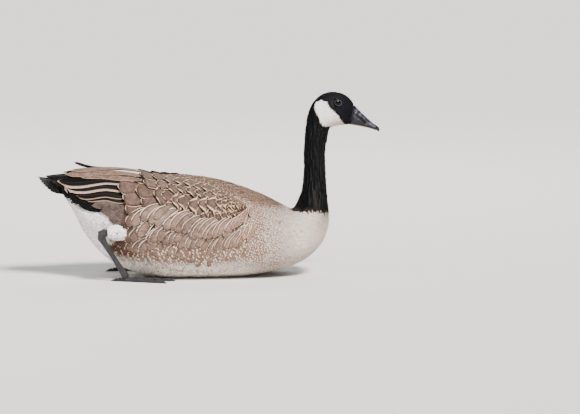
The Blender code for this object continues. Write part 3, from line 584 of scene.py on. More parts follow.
plumage = dict(
    # faceSheen is a painted sheen: a bluish grey that the black front of the head takes, for light on the
    # crown and lores
    black=colour(5, 5, 6), blackEdge=colour(16, 16, 19), faceSheen=colour(28, 27, 34),
    white=colour(250, 247, 244), cheekLow=colour(228, 210, 198),
    breast=colour(142, 112, 96), breastEdge=colour(253, 245, 238), breastFront=colour(238, 222, 212),
    flank=colour(124, 98, 84), flankEdge=colour(244, 226, 212),
    flankRear=colour(78, 57, 45), flankRearEdge=colour(196, 164, 138),
    belly=colour(230, 218, 208), bellyEdge=colour(252, 246, 241),
    mantle=colour(92, 72, 61), mantleEdge=colour(200, 172, 152),
)
cheekOutline = (  # x and z round the white patch
    (0.1870, 0.3010), (0.1910, 0.3075), (0.2000, 0.3100), (0.2090, 0.3060), (0.2130, 0.2980),
    (0.2205, 0.2900), (0.2285, 0.2810), (0.2335, 0.2730), (0.2390, 0.2660), (0.2380, 0.2500),
    (0.2300, 0.2500), (0.2220, 0.2600), (0.2120, 0.2655), (0.2030, 0.2680), (0.1970, 0.2740),
    (0.1940, 0.2820), (0.1905, 0.2880),
)
neckEnd = dict(height=0.1165, waves=0.0016, alongX=900, alongY=400)
mantleEnd = ((0.0, 0.058, 0.107, 0.143), (0.150, 0.142, 0.122, 0.1165))  # x, lower border z
borders = dict(  # where a colour starts and where it is full: x, -x towards the tail, z, or u along
    breast=(-0.10, 0.16), breastFront=(0.110, 0.180), flankRear=(0.085, 0.125), bellyTop=0.052,
    bellyFront=0.12, vent=(0.146, 0.156), mantleFront=15.2, rump=(0.19, 0.20), rumpLow=(0.12, 0.135),
    neck=(13.6, 14.2), face=(26.5, 29.0), cheek=(22.5, 23), cheekLow=0.282, sharp=0.0006, soft=0.003,
)


def insideOutline(x, z, outline):
    # distance inside an outline, below 0 outside it
    corners = np.array(outline)
    after = np.roll(corners, -1, 0)
    p = np.stack([x, z], -1)[..., None, :]
    way = after - corners
    t = np.clip(((p - corners) * way).sum(-1) / (way**2).sum(-1), 0, 1)
    near = np.linalg.norm(p - corners - t[..., None] * way, axis=-1).min(-1)
    crosses = (corners[:, 1] > p[..., 1]) != (after[:, 1] > p[..., 1])
    at = corners[:, 0] + (p[..., 1] - corners[:, 1]) / np.where(way[:, 1] == 0, 1e-9, way[:, 1]) * way[:, 0]
    inside = (crosses & (p[..., 0] < at)).sum(-1) % 2 == 1
    return np.where(inside, near, -near)


def neckBorder(x, y):
    # height at which the black of the neck ends
    return neckEnd["height"] + neckEnd["waves"] * np.sin(x * neckEnd["alongX"] + y * neckEnd["alongY"])


def markings(points, u, ragged):
    # base and fringe colours of the body, neck and head, with a painted sheen on the front of the head;
    # ragged shifts their borders, in metres
    x, y, z = np.moveaxis(points, -1, 0)
    along = smooth(x, *borders["breast"])
    base = mixed(along, plumage["flank"], plumage["breast"])
    base = mixed(smooth(x, *borders["breastFront"]), base, plumage["breastFront"])
    both = base, mixed(along, plumage["flankEdge"], plumage["breastEdge"])
    both = painted(both, smooth(-x, *borders["flankRear"]), plumage["flankRear"], plumage["flankRearEdge"])
    low = smooth(borders["bellyTop"] - z, 0.0, 0.030) * smooth(borders["bellyFront"] - x, 0.0, 0.06)
    both = painted(both, low, plumage["belly"], plumage["bellyEdge"])
    both = painted(both, smooth(-x + ragged, *borders["vent"]), plumage["white"], plumage["white"])
    back = smooth(z - np.interp(x, *mantleEnd) + ragged, -borders["soft"], borders["soft"])
    back = back * smooth(borders["mantleFront"] - u, 0, 0.6)
    both = painted(both, back, plumage["mantle"], plumage["mantleEdge"])
    overRump = smooth(-x + ragged, *borders["rump"]) * smooth(z, *borders["rumpLow"])
    both = painted(both, overRump, plumage["black"], plumage["blackEdge"])
    neck = smooth(z - neckBorder(x, y) + ragged, -borders["sharp"], borders["sharp"])
    neck = neck * smooth(u, *borders["neck"])
    base, edge = painted(both, neck, plumage["black"], plumage["blackEdge"])
    # painted sheen: the black of the head's front turns a bluish grey, for light on the crown and lores
    base = mixed(smooth(u, *borders["face"]) * neck, base, plumage["faceSheen"])
    inCheek = insideOutline(x, z, cheekOutline) + ragged * 0.7
    cheek = smooth(inCheek, -borders["sharp"], borders["sharp"]) * smooth(u, *borders["cheek"])
    white = mixed(smooth(borders["cheekLow"] - z, 0, 0.018), plumage["white"], plumage["cheekLow"])
    return painted((base, edge), cheek, white, white)


# Skin

skinSets = dict(
    look=dict(roughness=0.7, gloss=0.3, grain=900, streaks=0.12, bump=0.5),
    rows=481, around=160, depth=((13, 16, 23, 26), (0.0030, 0.0022, 0.0022, 0.0012)),
    endRings=((0.75, 0.0016), (0.4, 0.0026), (0.02, 0.0030)),  # size and bulge, drawing each end together
)
neckRidges = dict(height=0.0006, count=19, slant=40.0, waver=1.8)


def ridgeTurn(v, z):
    return neckRidges["count"] * v + neckRidges["slant"] * z * np.sign(v)


def ridges(u, v, points):
    # furrows down the neck, strongest in its middle
    z = points[..., 2]
    strength = smooth(u, 14.5, 17) * smooth(-u, -25.5, -23.0) * neckRidges["height"]
    waver = neckRidges["waver"] * (np.sin(z * 95 + 3 * v) + 0.6 * np.sin(z * 41 - 2 * v))
    return strength * np.cos(ridgeTurn(v, z) + waver)


def makeBodySurface():
    uEnds, vEnds, counts = (0.0, billPlace), (-math.pi, math.pi), (961, 481)
    body = surfaceFrom(bodyPoint, uEnds, vEnds, counts, 1.0, True)
    rise = ridges(*gridValues(uEnds, vEnds, counts), body.points)
    body.setPoints(body.points + body.normals * rise[..., None])
    return body


def makeSkin(body):
    rows, around = skinSets["rows"], skinSets["around"]
    u, v = gridValues(body.uEnds, body.vEnds, (rows, around + 1), True)
    points, normals = body.at(u, v, body.points, body.normals)
    points = points - normals * np.interp(u, *skinSets["depth"])[..., None]
    points[..., 2] = np.maximum(points[..., 2], 0.0)
    base = markings(points, u, np.zeros_like(u))[0]
    faces, index = ringFaces(rows, around)
    allPoints, colours = points.reshape(-1, 3), base.reshape(-1, 3)
    for end, outward in ((0, -1), (rows - 1, 1)):
        middle = points[end].mean(0)
        before = index[end]
        for size, bulge in skinSets["endRings"]:
            ring = middle + (points[end] - middle) * size + np.array([outward * bulge, 0, 0])
            new = len(allPoints) + np.arange(around)
            allPoints = np.concatenate([allPoints, ring])
            colours = np.concatenate([colours, np.repeat(base[end].mean(0)[None], around, 0)])
            quads = np.stack([before, np.roll(before, -1), np.roll(new, -1), new], -1)
            faces = np.concatenate([faces, quads[:, ::outward]])
            before = new
    flat = np.clip(np.stack([u / billPlace, v / math.tau + 0.5], -1).reshape(-1, 2), 0.001, 0.999)
    flat = np.concatenate([flat, np.repeat(flat[-1:], len(allPoints) - len(flat), 0)])
    material = coatMaterial("skinUnderFeathers", skinSets["look"])
    skin = meshPiece("bodySkin", allPoints, faces, material, flat)
    giveValues(skin, "baseColour", "FLOAT_COLOR", colours)
    place(skin, "pale_feathers", "torso", "neck", "head", "thigh_left", "thigh_right")
    print(f"skin: {len(faces)} faces")


# Coat of the head and neck; a pair of rows gives a value at places along the body

headSets = dict(
    look=dict(roughness=0.60, gloss=0.08, barbs=2600, streaks=0.30, clouds=0.15, bump=0.35),
    gap=((24, 28, 32), (0.0021, 0.0016, 0.0012)), crowding=0.72,
    length=((24, 27, 30, 32), (0.0078, 0.0056, 0.0040, 0.0029)), slimness=0.42,
    eyeHole=(0.0086, 0.0066), start=24.2, end=billPlace - 0.15,
)
neckSets = dict(
    look=dict(roughness=0.38, gloss=0.11, barbs=2000, streaks=0.5, clouds=0.2, bump=0.4),
    gap=((14, 17, 24), (0.0048, 0.0042, 0.0032)), crowding=0.52,
    length=((14, 17, 24.6), (0.0150, 0.0135, 0.0085)), slimness=0.24, clumping=0.10,
    start=13.9, end=24.6,
)


def scatterAlong(body, sets, draw):
    # places for feathers whose spacing changes along the body only
    def spacing(u, v):
        along = np.interp(u, *sets["gap"])
        return np.stack([along, along * sets["crowding"]], -1)

    u, v = scatter(body, (sets["start"], sets["end"]), body.vEnds, spacing, draw)
    return u, v, body.at(u, v, body.points)[0]


def headCoat(body):
    draw = np.random.default_rng(3)
    u, v, points = scatterAlong(body, headSets, draw)
    off = points - np.array(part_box("eye_left")).mean(0)
    hole = headSets["eyeHole"]
    keep = (off[:, 0] / hole[0]) ** 2 + (off[:, 2] / hole[1]) ** 2 > 1
    u, v, points = u[keep], v[keep], points[keep]
    n = len(u)
    base, edge = markings(points, u, draw.normal(0, 0.0009, n))
    tone = draw.normal(1, 0.06, (n, 1))
    length = np.interp(u, *headSets["length"]) * draw.uniform(0.85, 1.15, n)
    alongU, alongV = body.at(u, v, body.alongU, body.alongV)
    way = -unit(alongU) + unit(alongV) * draw.normal(0, 0.10, (n, 1))
    feathers = feathersFrom(
        u, v, way, draw, length=length, width=length * headSets["slimness"], sunk=-0.0012,
        lift=draw.normal(0.0001, 0.00008, n), bow=0.9, fringe=0.0003,
        baseColour=base * tone, fringeColour=edge * tone)
    material = featherMaterial("headPlumage", headSets["look"])
    for word, chosen in (("Left", points[:, 1] >= 0), ("Right", points[:, 1] < 0)):
        layFeathers("headFeathers" + word, body, chosenFrom(feathers, chosen), pointTip, 4, 3, material,
                    "black_feathers", thick=0.00012)


def neckCoat(body):
    draw = np.random.default_rng(4)
    u, v, points = scatterAlong(body, neckSets, draw)
    keep = points[:, 2] > neckBorder(points[:, 0], points[:, 1]) + 0.004
    u, v, points = u[keep], v[keep], points[keep]
    n = len(u)
    base, edge = markings(points, u, draw.normal(0, 0.0006, n))
    length = np.interp(u, *neckSets["length"]) * draw.uniform(0.85, 1.2, n)
    alongU, alongV = body.at(u, v, body.alongU, body.alongV)
    clump = neckSets["clumping"] * np.sin(ridgeTurn(v, points[:, 2]))
    way = -unit(alongU) + unit(alongV) * (draw.normal(0, 0.07, n) + clump)[:, None]
    feathers = feathersFrom(
        u, v, way, draw, length=length, width=length * neckSets["slimness"], sunk=-0.0022,
        lift=draw.normal(0.0005, 0.0005, n), bow=0.8, arch=0.25, fringe=0.0004,
        baseColour=base, fringeColour=edge)
    material = featherMaterial("neckPlumage", neckSets["look"])
    layFeathers("neckFeathers", body, feathers, pointTip, 5, 3, material, "black_feathers", thick=0.00018)


# Coat of the trunk; a pair of rows gives a value at places x

trunkSets = dict(
    look=dict(roughness=0.78, gloss=0.22, barbs=1500, streaks=0.30, clouds=0.25,
              ragged=1.0, band=0.40, bandReach=3.0, bandColour=colour(112, 80, 64), bump=0.6),
    gap=((-0.20, -0.12, 0.0, 0.06, 0.10, 0.14, 0.17, 0.21),
         (0.0115, 0.0120, 0.0100, 0.0072, 0.0054, 0.0042, 0.0034, 0.0027)),
    lean=((0, 3, 6, 9, 11, 13, 15), (0.0, 0.3, 0.6, 0.9, 0.9, 0.4, 0.0)),
    steep=((-0.20, -0.13, -0.02, 0.09, 0.15, 0.20), (-0.35, 0.30, 0.55, 0.42, 0.35, 0.6)),
    long=((-0.15, 0.10), (3.2, 2.8)), width=1.75, fringe=0.21, breastX=0.10, underWing=0.22,
)


def underWing(points):
    # how far in under the folded wing a point of the body lies, as a share of the wing; below 0 outside it
    x, y, z = np.moveaxis(points, -1, 0)
    row = wingRowAt(x)
    angle = np.arctan2(np.abs(y) / row[..., 2], (z - row[..., 3]) / (row[..., 1] - row[..., 3]))
    share = (angle - row[..., 4]) / (row[..., 5] - row[..., 4])
    return np.where((x < 0.045) & (x > -0.235), np.minimum(share, 1 - share), -1.0)


def downward(steep):
    # ways that lead back, and down by this angle
    return np.stack([-np.cos(steep), np.zeros(len(steep)), -np.sin(steep)], -1)


def bodyCoat(body):
    draw = np.random.default_rng(5)

    def spacing(u, v):
        gap = np.interp(body.at(u, v, body.points)[0][..., 0], *trunkSets["gap"])
        return np.stack([gap * 0.66, gap * 0.74], -1)

    u, v = scatter(body, (0.04, 15.6), body.vEnds, spacing, draw, trunkSets["lean"])
    u = np.clip(u, 0.02, 15.6)
    points, = body.at(u, v, body.points)
    x, y, z = points.T
    keep = (z < neckBorder(x, y) + 0.006) | (u < 13.5)
    keep = keep & (underWing(points) < trunkSets["underWing"])
    u, v, points = u[keep], v[keep], points[keep]
    x, y, z = points.T
    n = len(u)
    base, edge = markings(points, u, draw.normal(0, 0.0012, n))
    tone = draw.normal(1, 0.06, (n, 1))
    gap = np.interp(x, *trunkSets["gap"])
    length = gap * np.interp(x, *trunkSets["long"]) * draw.uniform(0.90, 1.10, n)
    steep = np.interp(x, *trunkSets["steep"]) * smooth(0.155 - z, 0, 0.03) * smooth(z, 0.01, 0.05)
    steep = steep + draw.normal(0, 0.05, n)
    feathers = feathersFrom(
        u, v, downward(steep), draw, length=length, width=gap * trunkSets["width"], sunk=-0.0030,
        bend=0.10, lift=np.clip(gap * 0.10, 0.0003, 0.0012), bow=1.1, arch=0.10, arc=0.24, frayed=0.05,
        fringe=np.clip(gap * trunkSets["fringe"], 0.0008, 0.0021),
        baseColour=base * tone, fringeColour=edge * tone)
    material = featherMaterial("bodyPlumage", trunkSets["look"])
    front = x > trunkSets["breastX"]
    for word, side in (("Left", y >= 0), ("Right", y < 0)):
        for part, chosen, rows, columns in (("breast", side & front, 5, 3), ("side", side & ~front, 6, 5)):
            layFeathers(part + "Feathers" + word, body, chosenFrom(feathers, chosen), roundTip, rows,
                        columns, material, "pale_feathers")


flankSets = dict(
    look=dict(roughness=0.74, gloss=0.22, barbs=700, streaks=0.60, clouds=0.45,
              ragged=0.9, band=0.85, bandReach=4.6, bandColour=colour(62, 40, 29), bump=0.6),
    gap=((-0.142, -0.10, -0.05, 0.0, 0.05, 0.09), (0.0125, 0.0110, 0.0095, 0.0078, 0.0062, 0.0052)),
    upperLine=((-0.150, -0.120, -0.090, -0.040, 0.010, 0.050, 0.075),
               (0.126, 0.133, 0.134, 0.123, 0.111, 0.116, 0.132)),
    frontX=0.078, tiers=4, tierStep=0.026, lowTier=3, length=0.050, width=1.8, bulge=0.0085,
    shorter=((-0.14, 0.0, 0.09), (1.0, 0.95, 0.60)), bend=((-0.14, 0.0, 0.09), (0.95, 0.75, 0.35)),
    steep=((-0.14, -0.05, 0.05, 0.09), (0.42, 0.45, 0.75, 0.9)),
    base=colour(122, 100, 88), edge=colour(242, 222, 206),
    rearBase=colour(66, 48, 38), rearEdge=colour(196, 164, 138),
)


def flankSurface(body):
    # the body swollen by the loose feathers that hold the wing's lower edge
    x, y, z = np.moveaxis(body.points, -1, 0)
    swell = smooth(x, -0.175, -0.120) * smooth(0.085 - x, 0, 0.05)
    swell = swell * smooth(z, 0.050, 0.105) * smooth(0.168 - z, 0, 0.03)
    raised = body.points + body.normals * (flankSets["bulge"] * swell)[..., None]
    return Surface(raised, body.uEnds, body.vEnds, body.facing, True)


def flankSpots(draw):
    # x, z and tier of each feather's root
    spots, x = [], flankSets["gap"][0][0]
    while x < flankSets["frontX"]:
        for tier in range(flankSets["tiers"]):
            top = np.interp(x, *flankSets["upperLine"]) - tier * flankSets["tierStep"]
            z = top + draw.normal(0, 0.003)
            spots.append((x + draw.normal(0, 0.0012) + (0.5 * (tier % 2)) * 0.010, z, tier))
        x += float(np.interp(x, *flankSets["gap"]))
    return np.array(spots)


def flankCoat(body):
    surface = flankSurface(body)
    # a table from x and z to the places on the surface, for the right half
    us, vs = gridValues((1.5, 11.5), (-0.15, -math.pi + 0.15), (241, 181))
    places = np.stack([us.ravel(), vs.ravel()], -1)
    grid, = surface.at(*places.T, surface.points)
    for word, side, seed in (("Left", 1, 21), ("Right", -1, 22)):
        draw = np.random.default_rng(seed)
        spots = flankSpots(draw)
        near = np.array([((grid[:, 0] - a) ** 2 + (grid[:, 2] - b) ** 2).argmin() for a, b, tier in spots])
        u, v = places[near].T
        x, n = spots[:, 0], len(u)
        gap = np.interp(x, *flankSets["gap"])
        way = downward(np.interp(x, *flankSets["steep"]) + draw.normal(0, 0.05, n))
        rear = smooth(-x, 0.105, 0.135)
        base, edge = painted((flankSets["base"], flankSets["edge"]), rear,
                             flankSets["rearBase"], flankSets["rearEdge"])
        base = mixed(smooth(x, -0.02, 0.09), base, plumage["breast"])
        low = (spots[:, 2] == flankSets["lowTier"]) * 0.5
        base, edge = painted((base, edge), low, plumage["belly"], plumage["bellyEdge"])
        tone = draw.normal(1, 0.07, (n, 1))
        bend = np.interp(x, *flankSets["bend"]) * draw.uniform(0.85, 1.15, n)
        length = flankSets["length"] * np.interp(x, *flankSets["shorter"]) * draw.uniform(0.92, 1.08, n)
        feathers = feathersFrom(
            u, v * -side, way, draw, bend=bend, length=length, width=gap * flankSets["width"],
            sunk=-0.0042, lift=0.0010 + draw.uniform(0, 0.0006, n), bow=0.9, roll=-0.02, arch=0.10,
            arc=0.30, fringe=np.clip(gap * 0.11, 0.0005, 0.0012), frayed=0.03,
            baseColour=base * tone, fringeColour=edge * tone)
        material = featherMaterial("flankPlumage" + word, flankSets["look"])
        layFeathers("flankFeathers" + word, surface, feathers, longTip, 14, 7, material, "pale_feathers")


# Wings

wingRowSets = dict(
    look=dict(roughness=0.70, gloss=0.22, barbs=700, streaks=0.60, clouds=0.45,
              ragged=0.7, band=0.85, bandReach=5.5, bandColour=colour(30, 18, 12), bump=0.5,
              shaft=0.30, shaftColour=colour(84, 62, 52)),
    # tip x at the top and at the bottom, share at the top and at the bottom, count, length, turn upwards
    coverts=(
        (-0.171, -0.150, 0.43, 1.02, 3, 0.060, 0.02), (-0.138, -0.119, 0.46, 1.05, 3, 0.054, 0.03),
        (-0.111, -0.092, 0.43, 1.06, 2, 0.050, 0.05), (-0.094, -0.077, 0.47, 1.06, 3, 0.046, 0.07),
        (-0.079, -0.066, 0.50, 1.04, 2, 0.046, 0.09), (-0.063, -0.062, 0.45, 1.04, 2, 0.046, 0.12),
        (-0.046, -0.046, 0.42, 1.04, 2, 0.048, 0.16), (-0.029, -0.027, 0.38, 1.04, 2, 0.048, 0.20),
        (-0.012, -0.012, 0.33, 1.02, 2, 0.046, 0.24), (0.003, 0.000, 0.32, 1.00, 3, 0.040, 0.27),
        (0.014, 0.010, 0.30, 0.98, 3, 0.034, 0.29), (0.024, 0.019, 0.30, 0.96, 3, 0.029, 0.30),
        (0.032, 0.027, 0.28, 0.94, 3, 0.025, 0.30), (0.039, 0.034, 0.26, 0.92, 3, 0.022, 0.30),
        (0.046, 0.041, 0.22, 0.90, 4, 0.019, 0.30), (0.053, 0.048, 0.18, 0.88, 4, 0.015, 0.30),
    ),
    upper=(
        (-0.128, -0.120, 0.02, 0.44, 2, 0.050, 0.00), (-0.106, -0.098, 0.02, 0.42, 2, 0.044, 0.02),
        (-0.086, -0.080, 0.02, 0.44, 2, 0.042, 0.04), (-0.068, -0.062, 0.02, 0.44, 2, 0.040, 0.05),
        (-0.051, -0.046, 0.02, 0.42, 2, 0.038, 0.06), (-0.035, -0.031, 0.02, 0.40, 2, 0.036, 0.07),
        (-0.020, -0.017, 0.02, 0.36, 2, 0.033, 0.08), (-0.006, -0.004, 0.02, 0.34, 2, 0.030, 0.09),
        (0.006, 0.007, 0.02, 0.32, 2, 0.026, 0.10), (0.016, 0.016, 0.02, 0.32, 2, 0.022, 0.10),
        (0.026, 0.025, 0.00, 0.30, 2, 0.019, 0.10), (0.035, 0.033, 0.00, 0.30, 2, 0.017, 0.10),
        (0.043, 0.041, 0.00, 0.26, 2, 0.015, 0.10), (0.051, 0.049, 0.00, 0.22, 2, 0.014, 0.10),
    ),
    base=dict(coverts=colour(90, 71, 61), upper=colour(94, 77, 68)), edge=colour(206, 172, 144),
    sunk=dict(coverts=-0.0062, upper=-0.0052), overlap=1.55, fringe=0.046, tuck=0.0060,
)


def wingSurface(side):
    # near its lower edge the wing tucks in under the flank
    ends = (-0.300, 0.080), (-0.40, 1.65)
    counts = 381, 247
    made = surfaceFrom(lambda x, share: wingPoint(x, share, side), *ends, counts, side)
    u, v = gridValues(*ends, counts)
    tuck = wingRowSets["tuck"] * smooth(v, 0.80, 1.06) * smooth(u, -0.165, -0.140)
    made.setPoints(made.points - made.normals * tuck[..., None])
    return made


def wingCoverts(word, side, wing):
    draw = np.random.default_rng(11 if side > 0 else 12)
    for kind, nodes in (("upper", ()), ("coverts", ("wing_" + word.lower(),))):
        us, vs, ways, sizes = [], [], [], []
        for high, low, top, bottom, count, length, turn in wingRowSets[kind]:
            share = (np.arange(count) + 0.5 + draw.normal(0, 0.06, count)) / count
            tipX = high + (low - high) * share + draw.normal(0, 0.0014, count)
            share = top + (bottom - top) * share
            long = length * draw.uniform(0.95, 1.05, count)
            span = np.linalg.norm(wing.at(tipX, share, wing.alongV)[0], axis=-1)
            us.append(tipX + long * math.cos(turn))
            vs.append(share + long * math.sin(turn) / span)
            width = (bottom - top) / count * span * wingRowSets["overlap"] * draw.uniform(0.95, 1.08, count)
            rounded = np.full(count, np.interp(tipX[0], (-0.12, -0.06), (0.10, 0.30)))
            sizes.append(np.stack([long, width, rounded, np.arange(count)], -1))
            ways.append(np.tile([-math.cos(turn), 0, math.sin(turn)], (count, 1)))
        u, v, way, size = (np.concatenate(rows) for rows in (us, vs, ways, sizes))
        n = len(u)
        tone = draw.normal(1, 0.08, (n, 1))
        feathers = feathersFrom(
            np.minimum(u, 0.079), v, way, draw, length=size[:, 0], width=size[:, 1],
            sunk=wingRowSets["sunk"][kind], bend=0.04, lift=draw.uniform(0, 0.0006, n) - 0.0005 * size[:, 3],
            bow=1.7, roll=0.05, arch=0.05, arc=size[:, 2], frayed=0.010,
            fringe=np.clip(size[:, 1] * wingRowSets["fringe"], 0.0005, 0.0014),
            baseColour=wingRowSets["base"][kind] * tone,
            fringeColour=wingRowSets["edge"] * (1 + (tone - 1) / 2))
        material = featherMaterial("wing" + kind.title() + word, wingRowSets["look"])
        layFeathers(kind + "Feathers" + word, wing, feathers, squareTip, 24, 11, material, "brown_feathers",
                    nodes, 0.03, 0.0004)


flightSets = dict(
    look=dict(roughness=0.62, gloss=0.12, barbs=600, streaks=0.75, clouds=0.5, ragged=0.20, bump=0.5,
              shaft=0.7, shaftColour=colour(56, 44, 38)),
    # root x and share, middle x and share, tip x and share, depth, width, kind
    feathers=(
        (-0.118, 0.02, -0.185, 0.03, -0.244, 0.12, 0.0000, 0.024, "tertial"),
        (-0.112, 0.24, -0.180, 0.22, -0.254, 0.36, 0.0007, 0.023, "tertial"),
        (-0.120, 0.36, -0.175, 0.36, -0.232, 0.42, 0.0016, 0.018, "tertial"),
        (-0.128, 0.46, -0.190, 0.50, -0.266, 0.95, 0.0022, 0.024, "striped"),
        (-0.132, 0.58, -0.190, 0.65, -0.257, 1.12, 0.0030, 0.020, "striped"),
        (-0.135, 0.67, -0.185, 0.77, -0.240, 1.18, 0.0037, 0.017, "thin"),
        (-0.135, 0.73, -0.180, 0.83, -0.224, 1.14, 0.0043, 0.014, "thin"),
        (-0.130, 0.82, -0.168, 0.90, -0.214, 1.20, 0.0047, 0.016, "secondary"),
        (-0.125, 0.90, -0.160, 0.97, -0.200, 1.22, 0.0051, 0.017, "secondary"),
        (-0.120, 0.97, -0.150, 1.03, -0.186, 1.20, 0.0055, 0.017, "secondary"),
        (-0.112, 1.03, -0.140, 1.07, -0.170, 1.14, 0.0059, 0.016, "secondary"),
        (-0.190, 0.15, -0.240, 0.20, -0.288, 0.30, 0.0042, 0.013, "primary"),
        (-0.190, 0.30, -0.240, 0.42, -0.286, 0.62, 0.0046, 0.013, "primary"),
        (-0.185, 0.45, -0.235, 0.66, -0.282, 0.98, 0.0050, 0.014, "primary"),
        (-0.180, 0.62, -0.230, 0.90, -0.274, 1.28, 0.0054, 0.015, "primary"),
        (-0.175, 0.80, -0.220, 1.04, -0.263, 1.38, 0.0058, 0.016, "primary"),
        (-0.170, 0.90, -0.210, 1.12, -0.251, 1.40, 0.0062, 0.016, "primary"),
        (-0.165, 0.96, -0.200, 1.16, -0.238, 1.38, 0.0066, 0.016, "primary"),
    ),
    base=dict(tertial=colour(112, 90, 78), striped=colour(3, 3, 3), thin=colour(4, 3, 3),
              secondary=colour(82, 70, 65), primary=colour(4, 3, 4)),
    edge=dict(tertial=colour(170, 142, 124), striped=colour(176, 150, 136), thin=colour(150, 124, 108),
              secondary=colour(98, 84, 78), primary=colour(12, 11, 11)),
    fringe=dict(tertial=0.0009, striped=0.0046, thin=0.0020, secondary=0.0008, primary=0.0004),
)
raisedSets = dict(x=-0.185, share=0.10, length=0.050, width=0.0130, lift=0.0125,
                  base=colour(52, 44, 43), edge=colour(92, 82, 80))


def wingFlights(word, side, wing):
    draw = np.random.default_rng(13 if side > 0 else 14)
    rows = flightSets["feathers"]
    kinds = [row[8] for row in rows]
    numbers = np.array([row[:8] for row in rows])
    path = numbers[:, :6].reshape(-1, 3, 2).copy()
    path[..., 0] += draw.normal(0, 0.0008, (len(rows), 1))
    depth, width = numbers[:, 6], numbers[:, 7]
    points, = wing.at(path[..., 0], path[..., 1], wing.points)
    length = np.linalg.norm(points[:, 1:] - points[:, :-1], axis=-1).sum(-1)
    base, edge, fringe = (np.array([flightSets[key][kind] for kind in kinds]) for key in
                          ("base", "edge", "fringe"))
    feathers = feathersFrom(
        path[:, 0, 0], path[:, 0, 1], np.zeros((len(rows), 3)), draw, path=path, length=length, width=width,
        sunk=-0.0030 - depth, lift=-depth, bow=0.8, roll=0.04, arch=0.03, arc=0.2, frayed=0.005,
        baseColour=base, fringeColour=edge, fringe=fringe,
        lowerOnly=np.array([kind in ("striped", "thin") for kind in kinds], float))
    material = featherMaterial("flightPlumage" + word, flightSets["look"])
    layFeathers("flightFeathers" + word, wing, feathers, longTip, 36, 11, material, "brown_feathers",
                (), 0.05, 0.0005)
    if side > 0:
        raised = feathersFrom(
            np.array([raisedSets["x"]]), np.array([raisedSets["share"]]), np.array([[-1.0, 0.10, 0.0]]), draw,
            length=raisedSets["length"], width=raisedSets["width"], sunk=-0.001, lift=raisedSets["lift"],
            bow=2.2, roll=-0.25, arc=0.2, fringe=0.0010, frayed=0.01,
            baseColour=raisedSets["base"], fringeColour=raisedSets["edge"])
        layFeathers("raisedFeather", wing, raised, longTip, 24, 7, material, "brown_feathers",
                    (), 0.02, 0.0005)


def makeWings():
    for word, side in (("Left", 1), ("Right", -1)):
        wing = wingSurface(side)
        wingCoverts(word, side, wing)
        wingFlights(word, side, wing)


# Tail and rump

tailSets = dict(
    look=dict(roughness=0.50, gloss=0.15, barbs=1000, streaks=0.5, clouds=0.3, ragged=0.3, bump=0.6,
              shaft=0.5, shaftColour=colour(24, 22, 22)),
    pairs=8, rootX=-0.208, width=0.0135, layer=0.0012, base=colour(5, 4, 5), edge=colour(26, 23, 24),
)


def makeTail():
    draw = np.random.default_rng(15)
    fan = surfaceFrom(tailPoint, (-0.306, -0.200), (-1.3, 1.3), (107, 131))
    pairs = tailSets["pairs"]
    share = (np.arange(pairs) + 0.5) / pairs
    share = np.concatenate([share, -share])
    tipX = tail["tipX"] + tail["shorterOutside"] * np.abs(share) ** 2.2 + draw.normal(0, 0.0007, 2 * pairs)
    tipX = np.maximum(tipX, tail["tipX"])
    rootX = np.full(2 * pairs, tailSets["rootX"])
    tips, = fan.at(tipX, share, fan.points)
    roots, = fan.at(rootX, share, fan.points)
    depth = -0.0002 - tailSets["layer"] * np.tile(np.arange(pairs), 2)
    feathers = feathersFrom(
        rootX, share, unit(tips - roots), draw, length=np.linalg.norm(tips - roots, axis=-1),
        width=tailSets["width"], sunk=depth, lift=depth, bow=1.0, roll=-0.16, arch=0.05, arc=0.25,
        baseColour=tailSets["base"], fringeColour=tailSets["edge"], fringe=0.0005, frayed=0.008)
    material = featherMaterial("tailPlumage", tailSets["look"])
    layFeathers("tailFeathers", fan, feathers, longTip, 24, 7, material, "black_feathers", ("tail",),
                0.05, 0.0005)


rumpSets = dict(
    look=dict(roughness=0.6, gloss=0.12, barbs=1200, streaks=0.4, clouds=0.3, ragged=0.6, bump=0.5),
    middle=(-0.212, 0.0, 0.1530), radii=(0.040, 0.041, 0.0165), rows=41, around=64, skinDepth=0.0020,
    gap=(0.0058, 0.0062), length=0.019, width=0.0095,
    skin=colour(14, 13, 14), base=colour(5, 5, 5), edge=colour(18, 16, 17),
)


def rumpPoint(u, v):
    # u runs from the tail's side of the rump to the body's, v round it
    (x, y, z), (long, wide, high) = rumpSets["middle"], rumpSets["radii"]
    ring = np.sin(u)
    return np.stack([x - long * np.cos(u), wide * ring * np.sin(v), z + high * ring * np.cos(v)], -1)


